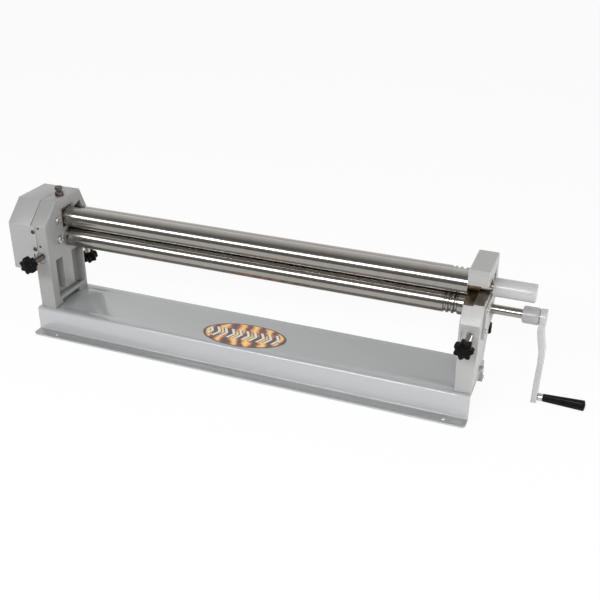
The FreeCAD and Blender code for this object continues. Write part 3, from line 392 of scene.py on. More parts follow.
casting_enamel = enamel("casting_enamel", (0.375, 0.375, 0.367), (0.35, 0.35, 0.342), 0.38, 0.35, 0.10)
cover_enamel = enamel("cover_enamel", (0.325, 0.325, 0.33), (0.30, 0.30, 0.305), 0.33, 0.18, 0.25)
# The left casting's enamel is a darker copy of the casting enamel, as painted shade for its place
# farther from the lamps.
shaded_left_enamel = enamel("shaded_left_enamel", (0.285, 0.285, 0.28), (0.26, 0.26, 0.253), 0.34, 0.45, 0.25)
handle_enamel = enamel("handle_enamel", (0.44, 0.44, 0.44), (0.41, 0.41, 0.41), 0.30, 0.20, 0.20)
base_enamel = enamel("base_enamel", (0.345, 0.352, 0.357), (0.33, 0.336, 0.34), 0.24, 0.05, 0.75,
                     gloss=0.6, blotches=0.6)
print("enamels: 5")

# %% [markdown]
# The base's flanges get painted shade, because they lie low in front of the upright webs and catch
# less light. The upright webs get painted light, a little paler than the top. Both are one mask each:
# the distance from the middle finds the flanges, and the direction that a face looks in finds the webs.

# %% Painted shade and light on the base
FLANGE_FROM, FLANGE_FULL = 0.0765, 0.080
FLANGE_SHADE, FLANGE_SHADE_SHARE = (0.20, 0.202, 0.20, 1), 0.80
LIT_WEB_TONE = (0.400, 0.408, 0.415, 1)

tree = base_enamel.node_tree
shader = next(node for node in tree.nodes if node.type == "BSDF_PRINCIPLED")
paint = (shader.inputs["Base Color"].links[0].from_node, 2)
outward = calc(tree, "ABSOLUTE", (taken_apart(tree, own_place(tree)), "Y"))
flange_shade_mask = between(tree, outward, FLANGE_FROM, FLANGE_FULL, 0, FLANGE_SHADE_SHARE)
facing = taken_apart(tree, (add_node(tree, "ShaderNodeNewGeometry"), "Normal"))
upright = between(tree, calc(tree, "ABSOLUTE", (facing, "Y")), 0.6, 0.95)
# The flanges are darkened as painted shade, and the upright webs are made paler as painted light.
flange_shaded_paint = blend(tree, flange_shade_mask, paint, FLANGE_SHADE)
feed(tree, shader.inputs["Base Color"], blend(tree, upright, flange_shaded_paint, LIT_WEB_TONE))
print("flanges from, mm:", 1000 * FLANGE_FROM)

# %% [markdown]
# The rolls are ground between centres, which leaves rings far too fine to model, so they are drawn in
# gloss and height along X. The other metals have no rings: blotches, grain and rubbed corners tell
# cast iron from bronze or zinc. The plastics are glossy and nearly black, with a little dust.

# %% Ground and machined steel


def steel(name, bright, dull, shine, line_depth, anisotropy):
    """Steel with grinding rings round X: pale and dull bands, fine lines in gloss and height."""
    material, tree, shader = new_material(name, {"Metallic": 1.0, "Anisotropic": anisotropy})
    rings = add_node(tree, "ShaderNodeGroup", {"Pitch scale": 2600.0, "Band scale": 45.0},
                     node_tree=turned_lines)
    tone = blend(tree, clouds(tree, 18.0, 1.2), (*dull, 1), (*bright, 1))
    banded = blend(tree, (rings, "Bands"), tone, (*bright, 1))
    gloss = between(tree, (rings, "Fine"), 0, 1, shine - 0.05, shine + 0.07)
    dress(tree, shader, banded, gloss, (rings, "Fine"), line_depth, 0.00006)
    return material


ground_steel = steel("ground_steel", (0.36, 0.34, 0.315), (0.27, 0.25, 0.228), 0.17, 0.25, 0.35)
machined_steel = steel("machined_steel", (0.60, 0.59, 0.57), (0.45, 0.44, 0.42), 0.32, 0.4, 0.2)
print("steels:", ground_steel.name, machined_steel.name)

# %% Cast, oiled, bronze and plated metal


def plain_metal(name, color, darker, shine, depth):
    """Metal without rings: blotched colour, grain in gloss and height, rubbed edges."""
    material, tree, shader = new_material(name, {"Metallic": 1.0})
    tone = blend(tree, clouds(tree, 55.0, 1.8), (*darker, 1), (*color, 1))
    paler = (*(min(1.0, c * 1.5) for c in color), 1)
    height = skin_height(tree, 900.0, 4000.0, 0.6)
    gloss = between(tree, height, 0, 1, shine - 0.08, shine + 0.10)
    dress(tree, shader, rubbed(tree, tone, 0.0006, 1.0, paler), gloss, height, depth, 0.0002)
    return material


bearing_iron = plain_metal("bearing_iron", (0.30, 0.29, 0.28), (0.18, 0.17, 0.16), 0.42, 0.3)
oiled_plate = plain_metal("oiled_plate", (0.16, 0.12, 0.09), (0.07, 0.05, 0.04), 0.36, 0.25)
bush_bronze = plain_metal("bush_bronze", (0.42, 0.36, 0.22), (0.28, 0.23, 0.13), 0.34, 0.2)
rubbed_iron = plain_metal("rubbed_iron", (0.52, 0.48, 0.43), (0.33, 0.30, 0.265), 0.36, 0.25)
brown_steel = plain_metal("brown_steel", (0.13, 0.115, 0.10), (0.05, 0.042, 0.036), 0.34, 0.25)
black_oxide = plain_metal("black_oxide", (0.055, 0.052, 0.05), (0.02, 0.02, 0.02), 0.38, 0.2)
zinc_plate = plain_metal("zinc_plate", (0.62, 0.62, 0.61), (0.45, 0.45, 0.45), 0.30, 0.2)
print("plain metals: 7")

# %% Moulded black plastic
DUST = 0.004


def moulded_plastic(name, color, shine, skin_depth):
    """Glossy moulded plastic, with faint dust in its blotches and a slightly wavy skin."""
    material, tree, shader = new_material(name, {"Specular IOR Level": 0.06})
    marks = clouds(tree, 90.0, 2.0)
    tone = blend(tree, marks, (*color, 1), (*(c + DUST for c in color), 1))
    dress(tree, shader, tone, between(tree, marks, 0, 1, shine, shine + 0.12),
          skin_height(tree, 420.0, 3000.0), skin_depth, 0.0003)
    return material


knob_plastic = moulded_plastic("knob_plastic", (0.003, 0.003, 0.0035), 0.10, 0.12)
grip_plastic = moulded_plastic("grip_plastic", (0.0035, 0.0035, 0.004), 0.12, 0.08)
print("plastics:", knob_plastic.name, grip_plastic.name)

# %% [markdown]
# The base carries an oval sticker. Its print here is a plain pattern of its own: a dark rim, warm
# waves from yellow to deep red, and a band of pale chevrons with dark outlines. The colours come from
# the object coordinates, turned and centred by a Mapping node so that they follow the oval.

# %% The sticker's own measures
STICKER_TURN = math.radians(4)
STICKER_HALF = (0.095, 0.048, 1)
DARK_INK = (0.03, 0.022, 0.02, 1)
RIM_INK = (0.03, 0.02, 0.018, 1)
PALE_INK = (0.74, 0.72, 0.66, 1)
WARM_INKS = [(0.0, (0.045, 0.018, 0.014, 1)), (0.32, (0.24, 0.045, 0.018, 1)),
             (0.56, (0.72, 0.20, 0.035, 1)), (0.82, (0.86, 0.42, 0.07, 1)), (1.0, (0.90, 0.62, 0.18, 1))]
CHEVRONS = 5.6
CHEVRON_LEAN = 0.26
BAND_HALF, BAND_END = 0.40, 0.72

label_low, label_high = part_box("base_label")
label_middle = (label_low + label_high) / 2
print("sticker centre:", [round(c, 3) for c in label_middle])

# %% The printed sticker
sticker_print, tree, shader = new_material("printed_sticker", {"Roughness": 0.22, "Coat Weight": 0.4})
centred = (add_node(tree, "ShaderNodeMapping", {
    "Vector": own_place(tree), "Location": label_middle, "Rotation": (0, 0, STICKER_TURN),
    "Scale": STICKER_HALF}, vector_type="TEXTURE"), "Vector")
axes = taken_apart(tree, centred)
across = calc(tree, "MULTIPLY", (axes, "X"), (axes, "X"))
distance = calc(tree, "ADD", across, calc(tree, "MULTIPLY", (axes, "Y"), (axes, "Y")))
waves = add_node(tree, "ShaderNodeTexWave", {"Vector": centred, "Scale": 0.9, "Distortion": 5.0,
                                             "Detail": 3.0, "Detail Scale": 1.6})
warm = ramp(tree, (waves, "Fac"), WARM_INKS)
rim = ramp(tree, distance, [(0.0, grey(0)), (0.86, grey(0)), (0.92, grey(1))])
ink = blend(tree, rim, warm, RIM_INK)
off_line = calc(tree, "ABSOLUTE", (axes, "Y"))
step = calc(tree, "ADD", (axes, "X"), calc(tree, "MULTIPLY", off_line, CHEVRON_LEAN))
repeat = calc(tree, "FRACT", calc(tree, "MULTIPLY", step, CHEVRONS))
inside = calc(tree, "MULTIPLY", calc(tree, "LESS_THAN", off_line, BAND_HALF),
              calc(tree, "LESS_THAN", across, BAND_END))
for (rise, top, fall, end), color in (((0.24, 0.30, 0.90, 0.96), DARK_INK),
                                      ((0.38, 0.44, 0.76, 0.82), PALE_INK)):
    stripe = ramp(tree, repeat, [(0.0, grey(0)), (rise, grey(0)), (top, grey(1)), (fall, grey(1)),
                                 (end, grey(0))])
    ink = blend(tree, calc(tree, "MULTIPLY", stripe, inside), ink, color)
feed(tree, shader.inputs["Base Color"], ink)
bump = add_node(tree, "ShaderNodeBump",
                {"Strength": 0.05, "Distance": 0.0002, "Height": skin_height(tree, 300.0, 2000.0)})
feed(tree, shader.inputs["Normal"], (bump, "Normal"))
print("sticker nodes:", len(tree.nodes))

# %% [markdown]
# Sheet, castings and machined blocks never have knife edges. The frame's mesh is exact but sharp, so
# each such piece gets a copy whose doubled vertices are merged, whose flat faces are joined up, and
# whose corners are rounded by a bevel. Long outer edges get the full width, and edges with short
# neighbours only a small one, because a wide bevel would fold over there. The copy stands for the
# frame's node and rides with the same body.

# %% Helpers for pieces
record = frame["record"]
node_body = {node: body for body, members in record["behaviour"]["bodies"].items() for node in members}
node_slot = {part["node"]: part["material_slot"] for part in record["subparts"]}
SMOOTH_BELOW = math.radians(38)


def smooth(mesh, below=SMOOTH_BELOW):
    """Smooth shading, except at corners sharper than an angle."""
    mesh.polygons.foreach_set("use_smooth", [True] * len(mesh.polygons))
    mesh.set_sharp_from_angle(angle=below)


def give_finish(piece, material):
    piece.data.materials.clear()
    piece.data.materials.append(material)


def stand_for(piece, node, material):
    """Give a piece its finish and let it stand for a node of the frame."""
    give_finish(piece, material)
    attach(piece, node_body[node])
    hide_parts(node)
    return piece


def apply_modifiers(piece):
    """Turn a piece's modifiers into plain mesh."""
    graph = bpy.context.evaluated_depsgraph_get()
    made = bpy.data.meshes.new_from_object(piece.evaluated_get(graph))
    piece.modifiers.clear()
    piece.data = made


print("nodes with a slot:", len(node_slot))

# %% Rounded copies of the frame's nodes
SMALL_BREAK = 0.00025
LONG_EDGE = 0.012
ROOM = 3.5
CORNER_FROM = math.radians(25)
SMOOTH_ROUNDED = math.radians(40)
DOUBLES_WITHIN = 2e-6
FLAT_WITHIN = math.radians(0.4)


def has_room(edge, width):
    """True for a long outer edge whose neighbours are long enough to take the full rounding."""
    if not edge.is_convex or edge.calc_length() < LONG_EDGE:
        return False
    beside = [other for corner in edge.verts for other in corner.link_edges if other is not edge]
    return all(other.calc_length() > ROOM * width for other in beside)


def softened(node, material, width, segments=2, round_corners=None):
    """A copy of a node with rounded corners that stands for it."""
    shape = bmesh.new()
    shape.from_mesh(nodes[node].data)
    bmesh.ops.remove_doubles(shape, verts=shape.verts, dist=DOUBLES_WITHIN)
    bmesh.ops.dissolve_limit(shape, angle_limit=FLAT_WITHIN, verts=shape.verts, edges=shape.edges)
    if round_corners:
        round_corners(shape)
    weights = shape.edges.layers.float.new("bevel_weight_edge")
    for edge in shape.edges:
        if len(edge.link_faces) == 2 and edge.calc_face_angle() > CORNER_FROM:
            edge[weights] = 1.0 if has_room(edge, width) else min(1.0, SMALL_BREAK / width)
    mesh = bpy.data.meshes.new(node + "_finished")
    shape.to_mesh(mesh)
    shape.free()
    piece = place_in_scene(node + "_finished", mesh)
    bevel = piece.modifiers.new("corners", "BEVEL")
    bevel.width = width
    bevel.segments = segments
    bevel.limit_method = "WEIGHT"
    bevel.use_clamp_overlap = False
    bevel.harden_normals = False
    apply_modifiers(piece)
    smooth(piece.data, SMOOTH_ROUNDED)
    return stand_for(piece, node, material)


print("corners count as sharp from, degrees:", round(math.degrees(CORNER_FROM)))

# %% Corners of the base's flanges
CORNER_RADIUS = 0.010
PLUMB_WITHIN = 1e-5
CORNER_TALLER = 0.002
AT_LIMIT_WITHIN = 1e-4


def flange_corners(shape):
    """Round the four upright outer corners of the base's two flanges."""
    low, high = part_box("base_channel")
    corners = []
    for edge in shape.edges:
        first, second = (v.co for v in edge.verts)
        plumb = (first - second).to_2d().length < PLUMB_WITHIN
        upright = plumb and abs(first.z - second.z) > CORNER_TALLER
        from_limits = [min(abs(first[i] - low[i]), abs(first[i] - high[i])) for i in (0, 1)]
        if upright and max(from_limits) < AT_LIMIT_WITHIN:
            corners.append(edge)
    bmesh.ops.bevel(shape, geom=corners, offset=CORNER_RADIUS, segments=6, profile=0.5, affect="EDGES")
    print("flange corners rounded:", len(corners))


print("flange corner radius, mm:", round(1000 * CORNER_RADIUS))

# %% [markdown]
# Most small pieces of a machine like this come off a lathe, and the star knobs and the grip follow a
# rule of their own: a circle with evenly spaced valleys. A Geometry Nodes tree can make all of them. It
# takes an outline of points (distance along the axis, radius), spins it, and lets each point say
# whether its ring is cut to a hexagon and how much of the valleys it gets. A lathe done by hand in
# Edit Mode would be as good for one piece, but not for forty.

# %% Start and end a Geometry Nodes tree


def start_tree(name, inputs, output):
    """A tree with named inputs, given as (label, socket kind), and its input node."""
    tree = bpy.data.node_groups.new(name, "GeometryNodeTree")
    for label, kind in inputs:
        tree.interface.new_socket(label, in_out="INPUT", socket_type="NodeSocket" + kind)
    tree.interface.new_socket(output, in_out="OUTPUT", socket_type="NodeSocketGeometry")
    return tree, tree.nodes.new("NodeGroupInput")


def end_tree(tree, shape, inputs, output):
    """Realize Instances, Set Material and the output."""
    real = add_node(tree, "GeometryNodeRealizeInstances", {"Geometry": shape})
    finish = add_node(tree, "GeometryNodeSetMaterial",
                      {"Geometry": (real, "Geometry"), "Material": (inputs, "Finish")})
    add_node(tree, "NodeGroupOutput", {output: (finish, "Geometry")})
    print("tree:", tree.name, len(tree.nodes), "nodes")


def set_inputs(modifier, values):
    """Set a Geometry Nodes modifier's inputs by the identifiers of their sockets."""
    for item in modifier.node_group.interface.items_tree:
        if item.item_type == "SOCKET" and item.in_out == "INPUT" and item.name in values:
            modifier[item.identifier] = values[item.name]


print("tree helpers ready")

# %% The spinning tree: a sheet of points, read row by row
spin_tree, spin_in = start_tree("spin_outline", [
    ("Outline", "Geometry"), ("Facets", "Float"), ("Lobes", "Float"), ("Valley depth", "Float"),
    ("Valley width", "Float"), ("Finish", "Material")], "Shape")
outline_size = add_node(spin_tree, "GeometryNodeAttributeDomainSize", {"Geometry": (spin_in, "Outline")},
                        component="MESH")
rows = (outline_size, "Point Count")
columns = calc(spin_tree, "ADD", (spin_in, "Facets"), 1.0)
sheet_of_points = add_node(spin_tree, "GeometryNodeMeshGrid",
                           {"Vertices X": columns, "Vertices Y": rows})
point_number = (spin_tree.nodes.new("GeometryNodeInputIndex"), "Index")
row = calc(spin_tree, "MODULO", point_number, rows)
column = calc(spin_tree, "FLOOR", calc(spin_tree, "DIVIDE", point_number, rows))
share_of_turn = calc(spin_tree, "DIVIDE", column, (spin_in, "Facets"))
spin_angle = calc(spin_tree, "MULTIPLY", share_of_turn, 2 * math.pi)


def from_outline(kind, source):
    """Read something at the outline's point of this row."""
    return add_node(spin_tree, "GeometryNodeSampleIndex",
                    {"Geometry": (spin_in, "Outline"), "Value": source, "Index": row},
                    data_type=kind, domain="POINT"), "Value"


def named(tree, attribute, kind):
    return add_node(tree, "GeometryNodeInputNamedAttribute", {"Name": attribute}, data_type=kind), 0


outline_point = taken_apart(spin_tree, from_outline(
    "FLOAT_VECTOR", (spin_tree.nodes.new("GeometryNodeInputPosition"), 0)))
flats = from_outline("FLOAT", named(spin_tree, "flats", "FLOAT"))
valley_share = from_outline("FLOAT", named(spin_tree, "valley_share", "FLOAT"))
print("tree started:", spin_tree.name, len(spin_tree.nodes), "nodes")

# %% Hexagons, valleys and the finished ring
SIXTH = math.pi / 3
WELD = 0.000002

sixth_turn = calc(spin_tree, "MODULO", calc(spin_tree, "ADD", spin_angle, SIXTH / 2), SIXTH)
off_middle = calc(spin_tree, "SUBTRACT", sixth_turn, SIXTH / 2)
hexagon_reach = calc(spin_tree, "DIVIDE", flats, calc(spin_tree, "COSINE", off_middle))
cut_radius = calc(spin_tree, "MINIMUM", (outline_point, "Y"), hexagon_reach)
lobe_angle = calc(spin_tree, "MULTIPLY", spin_angle, (spin_in, "Lobes"))
wave = calc(spin_tree, "SUBTRACT", 1.0, calc(spin_tree, "COSINE", lobe_angle))
half_wave = calc(spin_tree, "MULTIPLY", wave, 0.5)
shaped_wave = calc(spin_tree, "POWER", half_wave, (spin_in, "Valley width"))
valley = calc(spin_tree, "MULTIPLY", shaped_wave, (spin_in, "Valley depth"))
radius_here = calc(spin_tree, "SUBTRACT", cut_radius, calc(spin_tree, "MULTIPLY", valley, valley_share))
sideways = calc(spin_tree, "MULTIPLY", radius_here, calc(spin_tree, "COSINE", spin_angle))
upwards = calc(spin_tree, "MULTIPLY", radius_here, calc(spin_tree, "SINE", spin_angle))
spun_point = add_node(spin_tree, "ShaderNodeCombineXYZ",
                      {"X": (outline_point, "X"), "Y": sideways, "Z": upwards})
bent = add_node(spin_tree, "GeometryNodeSetPosition",
                {"Geometry": (sheet_of_points, "Mesh"), "Position": (spun_point, "Vector")})
weld = add_node(spin_tree, "GeometryNodeMergeByDistance",
                {"Distance": WELD, "Geometry": (bent, "Geometry")})
end_tree(spin_tree, (weld, "Geometry"), spin_in, "Shape")

# %% Use the spinning tree
NO_FLATS = 10.0
SPIN_DEFAULTS = {"Lobes": 0.0, "Valley depth": 0.0, "Valley width": 1.0}


def outline_mesh(name, points):
    """Points in mm (along, radius, half width across flats, share of valleys) as a line of edges."""
    full = [tuple(point) + (None, 0.0)[len(point) - 2:] for point in points]
    mesh = bpy.data.meshes.new(name)
    mesh.from_pydata([(x / 1000, radius / 1000, 0) for x, radius, _, _ in full],
                     [(i, i + 1) for i in range(len(full) - 1)], [])
    across = mesh.attributes.new("flats", "FLOAT", "POINT")
    across.data.foreach_set("value", [NO_FLATS if f is None else f / 1000 for _, _, f, _ in full])
    shares = mesh.attributes.new("valley_share", "FLOAT", "POINT")
    shares.data.foreach_set("value", [share for _, _, _, share in full])
    return mesh


def along_axis(place, aim):
    """A matrix that lays local X along a direction, starting at a place given in mm."""
    turn = Vector((1, 0, 0)).rotation_difference(Vector(aim)).to_matrix().to_4x4()
    return Matrix.Translation(Vector(place) / 1000) @ turn


def spun(name, outline, finish, place=(0, 0, 0), aim=(1, 0, 0), facets=64, **rule):
    """Spin an outline into a closed piece. rule may give lobes, valley_depth (m) and valley_width."""
    piece = place_in_scene(name, outline_mesh(name + "_outline", outline))
    maker = piece.modifiers.new("spin", "NODES")
    maker.node_group = spin_tree
    named_rule = {key.replace("_", " ").capitalize(): value for key, value in rule.items()}
    set_inputs(maker, {"Facets": float(facets), "Finish": finish, **SPIN_DEFAULTS, **named_rule})
    apply_modifiers(piece)
    piece.data.transform(along_axis(place, aim))
    shape = bmesh.new()
    shape.from_mesh(piece.data)
    bmesh.ops.recalc_face_normals(shape, faces=shape.faces)
    shape.to_mesh(piece.data)
    shape.free()
    smooth(piece.data)
    return piece


def turned(node, ending, outline, finish, place, aim=(1, 0, 0), facets=48, **rule):
    """Spin an outline and let it stand for a node. The piece is named after the node, with an ending."""
    return stand_for(spun(node + ending, outline, finish, place, aim, facets, **rule), node, finish)


def tube(start, end, inner, outer, corner):
    """A bush's outline: a closed loop with its outer corners cut off."""
    return [(start, inner), (start, outer - corner), (start + corner, outer), (end - corner, outer),
            (end, outer - corner), (end, inner), (start, inner)]


def box_mm(node):
    """The low corner, high corner and middle of a node's box, in mm."""
    low, high = (corner * 1000 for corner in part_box(node))
    return low, high, (low + high) / 2


print("spin helpers ready")

# %% [markdown]
# The three rolls are the machine's working faces: round steel bars, turned down to journals at both
# ends and ground all over. Two of them carry wire grooves near the crank end. Their outline is a
# handful of points, with each groove's arc put in where it belongs, so that the grooves are real
# hollows and not painted rings.

# %% Places along the rolls, in mm
ROLL_R = 23.0
HALF_ROLL = 457.0
ROLL_CORNER = 0.8
JOURNAL_R = 9.5
GEARED_JOURNAL_R = 11.0
SPIGOT_R = 8.0
GEAR_END = -521.5
RING_SEAT = (-518.5, -517.0)
RING_SEAT_DEPTH = 1.2
GROOVES = [(-42.0, 3.0), (-32.0, 3.5), (-21.0, 4.0)]
GROOVE_LIFT = 0.6


def roll_body(grooved):
    """The roll's full-width part, from its left face to its right one."""
    points = [(-HALF_ROLL, ROLL_R - ROLL_CORNER), (-HALF_ROLL + ROLL_CORNER, ROLL_R)]
    for offset, radius in GROOVES if grooved else []:
        reach = math.sqrt(radius ** 2 - GROOVE_LIFT ** 2)
        for step in range(9):
            x = reach * (step / 4 - 1)
            depth = math.sqrt(radius ** 2 - x ** 2) - GROOVE_LIFT
            points.append((HALF_ROLL + offset + x, ROLL_R - depth))
    return points + [(HALF_ROLL - ROLL_CORNER, ROLL_R), (HALF_ROLL, ROLL_R - ROLL_CORNER)]


def geared_journal(radius):
    """The left journal, with the groove of its retaining ring."""
    start, end = RING_SEAT
    bottom = radius - RING_SEAT_DEPTH
    return [(GEAR_END, 0), (GEAR_END, radius - 0.6), (GEAR_END + 0.6, radius), (start, radius),
            (start, bottom), (end, bottom), (end, radius), (-HALF_ROLL, radius)]


def plain_journal(end, corner):
    return [(HALF_ROLL, JOURNAL_R), (end - corner, JOURNAL_R), (end, JOURNAL_R - corner), (end, 0)]


print("wire grooves:", len(GROOVES))

# %% The three rolls
_, lower_end, lower_axis = box_mm("lower_roll")
_, upper_end, upper_axis = box_mm("upper_roll")
_, rear_end, rear_axis = box_mm("rear_roll")
handle_start = box_mm("release_handle")[0].x
upper_shaft = [(HALF_ROLL, JOURNAL_R), (handle_start, JOURNAL_R), (handle_start, SPIGOT_R),
               (upper_end.x, SPIGOT_R), (upper_end.x, 0)]
rear_right = plain_journal(rear_end.x, 0.6)
rear_left = [(-x, radius) for x, radius in reversed(rear_right)]
for node, axis, outline in (
        ("lower_roll", lower_axis,
         geared_journal(JOURNAL_R) + roll_body(True) + plain_journal(lower_end.x, 0.8)),
        ("upper_roll", upper_axis, geared_journal(GEARED_JOURNAL_R) + roll_body(False) + upper_shaft),
        ("rear_roll", rear_axis, rear_left + roll_body(True) + rear_right)):
    roll = turned(node, "_ground", outline, ground_steel, (0, axis.y, axis.z), facets=128)
    print(node, len(roll.data.polygons), "faces")

# %% [markdown]
# Four star knobs set the rolls. Each is one moulding: a short neck, seven round lobes with valleys
# between, and a small cap on the front. The valleys fade out towards the front face, which is what
# makes a moulded knob look soft in the hand.

# %% Star knobs
KNOB_OUTLINE = [
    (-5.0, 0), (-5.0, 11.2), (-4.4, 11.9), (-1.4, 12.6, None, 0.1), (-0.5, 14.2, None, 0.35),
    (-0.1, 16.6, None, 0.8), (0.3, 18.0, None, 1), (1.0, 18.95, None, 1), (2.2, 19.4, None, 1),
    (8.5, 19.48, None, 1), (15.0, 19.4, None, 1), (16.3, 19.0, None, 1), (17.2, 18.2, None, 0.97),
    (17.8, 17.0, None, 0.9), (18.3, 15.0, None, 0.7), (18.8, 12.0, None, 0.35), (19.2, 9.4, None, 0.1),
    (19.3, 8.4), (19.0, 8.0), (18.9, 7.6), (19.3, 7.0), (19.6, 4.0), (19.7, 0)]
KNOB_NECK = 5.0
VALLEY_DEPTH, VALLEY_WIDTH = 0.0046, 1.15
KNOB_SPIN = {"front_left": 0.15, "front_right": 0.0, "rear_left": 0.3, "rear_right": math.pi / 7}
REAR_KNOB_AWAY = 121.0
SLOT_TILT = math.radians(18.5)

down_slot = Vector((0, math.sin(SLOT_TILT), -math.cos(SLOT_TILT)))
screw_x = box_mm("front_right_screw")[2].x
for corner, spin in KNOB_SPIN.items():
    side = -1 if "left" in corner else 1
    if "front" in corner:
        back = box_mm(corner + "_knob")[1].y - KNOB_NECK
        place, aim = Vector((side * screw_x, back, box_mm(corner + "_screw")[2].z)), Vector((0, -1, 0))
    else:
        place = Vector((side * screw_x, rear_axis.y, rear_axis.z)) + down_slot * REAR_KNOB_AWAY
        aim = down_slot
    knob = spun(corner + "_knob_moulded", KNOB_OUTLINE, knob_plastic, place, aim, facets=140, lobes=7.0,
                valley_depth=VALLEY_DEPTH, valley_width=VALLEY_WIDTH)
    about = Matrix.Translation(place / 1000)
    knob.data.transform(about @ Matrix.Rotation(spin, 4, aim) @ about.inverted())
    stand_for(knob, corner + "_knob", knob_plastic)
print("knob faces:", len(knob.data.polygons))

# %% [markdown]
# Each knob turns a screw. A screw's thread is a rule too, but at this size only its fine rings show,
# so the thread is cut as closely spaced shallow rings near the knob, and the rest of the screw, which
# slides through the casting, stays plain.

# %% Adjusting screws
SCREW_R = 6.0
RING_PITCH = 1.75
RING_DEPTH = 0.55
THREAD_START = 12
FRONT_TIP = (9.0, 4.0)
FRONT_PLAIN = 62
REAR_THREAD_END = 62
INTO_KNOB = 10
REAR_SHORTER = 15


def thread_rings(start, count, pitch, dip_at, radius, depth):
    """Shallow rings, each a high point and, a little further on, a low one."""
    return [point for i in range(count) for point in
            ((start + i * pitch, radius), (start + i * pitch + dip_at, radius - depth))]


def threaded(length, end, tip_length=0.0, tip_r=SCREW_R):
    """An adjusting screw's outline: plain, then shallow rings up to end, then plain up to the tip."""
    count = int((end - THREAD_START) / RING_PITCH)
    points = [(0, 0), (0, SCREW_R - 0.6), (0.6, SCREW_R)]
    points += thread_rings(THREAD_START, count, RING_PITCH, RING_PITCH / 2, SCREW_R, RING_DEPTH)
    points.append((THREAD_START + count * RING_PITCH, SCREW_R))
    if tip_length:
        points += [(length - tip_length, SCREW_R), (length - tip_length, tip_r)]
    return points + [(length - 0.5, tip_r), (length, tip_r - 0.5), (length, 0)]


# The left front screw gets dark brown steel as a painted dark reflection on its polished stem; the right
# one gets ground steel.
for side, end, front_finish_painted_dark_left in ((-1, "left", brown_steel), (1, "right", ground_steel)):
    low, high, middle = box_mm(f"front_{end}_screw")
    length = high.y - low.y
    turned(f"front_{end}_screw", "_threaded", threaded(length, length - FRONT_PLAIN, *FRONT_TIP),
           front_finish_painted_dark_left, (side * screw_x, low.y, middle.z), (0, 1, 0), facets=40)
    reach = REAR_KNOB_AWAY + INTO_KNOB
    start = Vector((side * screw_x, rear_axis.y, rear_axis.z)) + down_slot * reach
    turned(f"rear_{end}_screw", "_threaded", threaded(reach - REAR_SHORTER, REAR_THREAD_END),
           machined_steel, start, -down_slot, facets=40)
print("front screw length, mm:", round(length, 1))

# %% [markdown]
# Bushes, the thrust washer, the roll's sleeve and the retaining rings are all short tubes. One loop
# makes them, and each takes its place and length from the box of the frame's own node.

# %% Tubes
BORE = JOURNAL_R + 0.05
GEARED_BORE = GEARED_JOURNAL_R + 0.05
RING_BITE = 1.14
SPINDLE_R = 4.0
TUBES = [
    ("lower_bush_left", BORE, bush_bronze, 0.4),
    ("lower_bush_right", BORE, bush_bronze, 0.6),
    ("rear_bush_left", BORE, bush_bronze, 0.4),
    ("rear_bush_right", BORE, bush_bronze, 0.4),
    ("upper_right_sleeve", BORE, bush_bronze, 0.5),
    ("lower_gear_ring", JOURNAL_R - RING_BITE, machined_steel, 0.2),
    ("upper_gear_ring", GEARED_JOURNAL_R - RING_BITE, machined_steel, 0.2),
    ("grip_ferrule", SPINDLE_R + 0.05, machined_steel, 0.8),
]
for node, inner, finish, corner in TUBES:
    low, high, middle = box_mm(node)
    turned(node, "_turned", tube(low.x, high.x, inner, (high.z - low.z) / 2, corner), finish,
           (0, middle.y, middle.z), facets=72)
print("tubes:", len(TUBES))

# %% The thrust washer, relieved behind its rim
low, high, _ = box_mm("lower_thrust_washer")
start, end, rim = low.x, high.x, (high.z - low.z) / 2
turned("lower_thrust_washer", "_turned",
       [(start, BORE), (start, rim - 2.2), (start + 0.9, rim - 2.2), (start + 0.9, rim - 0.3),
        (start + 1.2, rim), (end - 0.3, rim), (end, rim - 0.3), (end, BORE), (start, BORE)],
       machined_steel, (0, lower_axis.y, lower_axis.z), facets=96)
print("washer rim, mm:", round(rim, 1))

# %% The flanged swivel bush
BUSH_R = 14.0
FLANGE_THICKNESS = 4

low, high, _ = box_mm("swivel_bush")
flange_r = (high.z - low.z) / 2
turned("swivel_bush", "_turned",
       [(low.x, GEARED_BORE), (low.x, BUSH_R - 0.4), (low.x + 0.4, BUSH_R),
        (high.x - FLANGE_THICKNESS, BUSH_R), (high.x - FLANGE_THICKNESS, flange_r),
        (high.x - 0.6, flange_r), (high.x, flange_r - 0.6), (high.x, GEARED_BORE), (low.x, GEARED_BORE)],
       bush_bronze, (0, upper_axis.y, upper_axis.z), facets=72)
print("flange radius, mm:", round(flange_r, 1))

# %% [markdown]
# The crank's grip is a tapered moulding with twelve flutes, fatter at its free end, and it turns on a
# spindle whose bright end is riveted over. The same tree gives the flutes: twelve lobes and a very
# shallow valley.

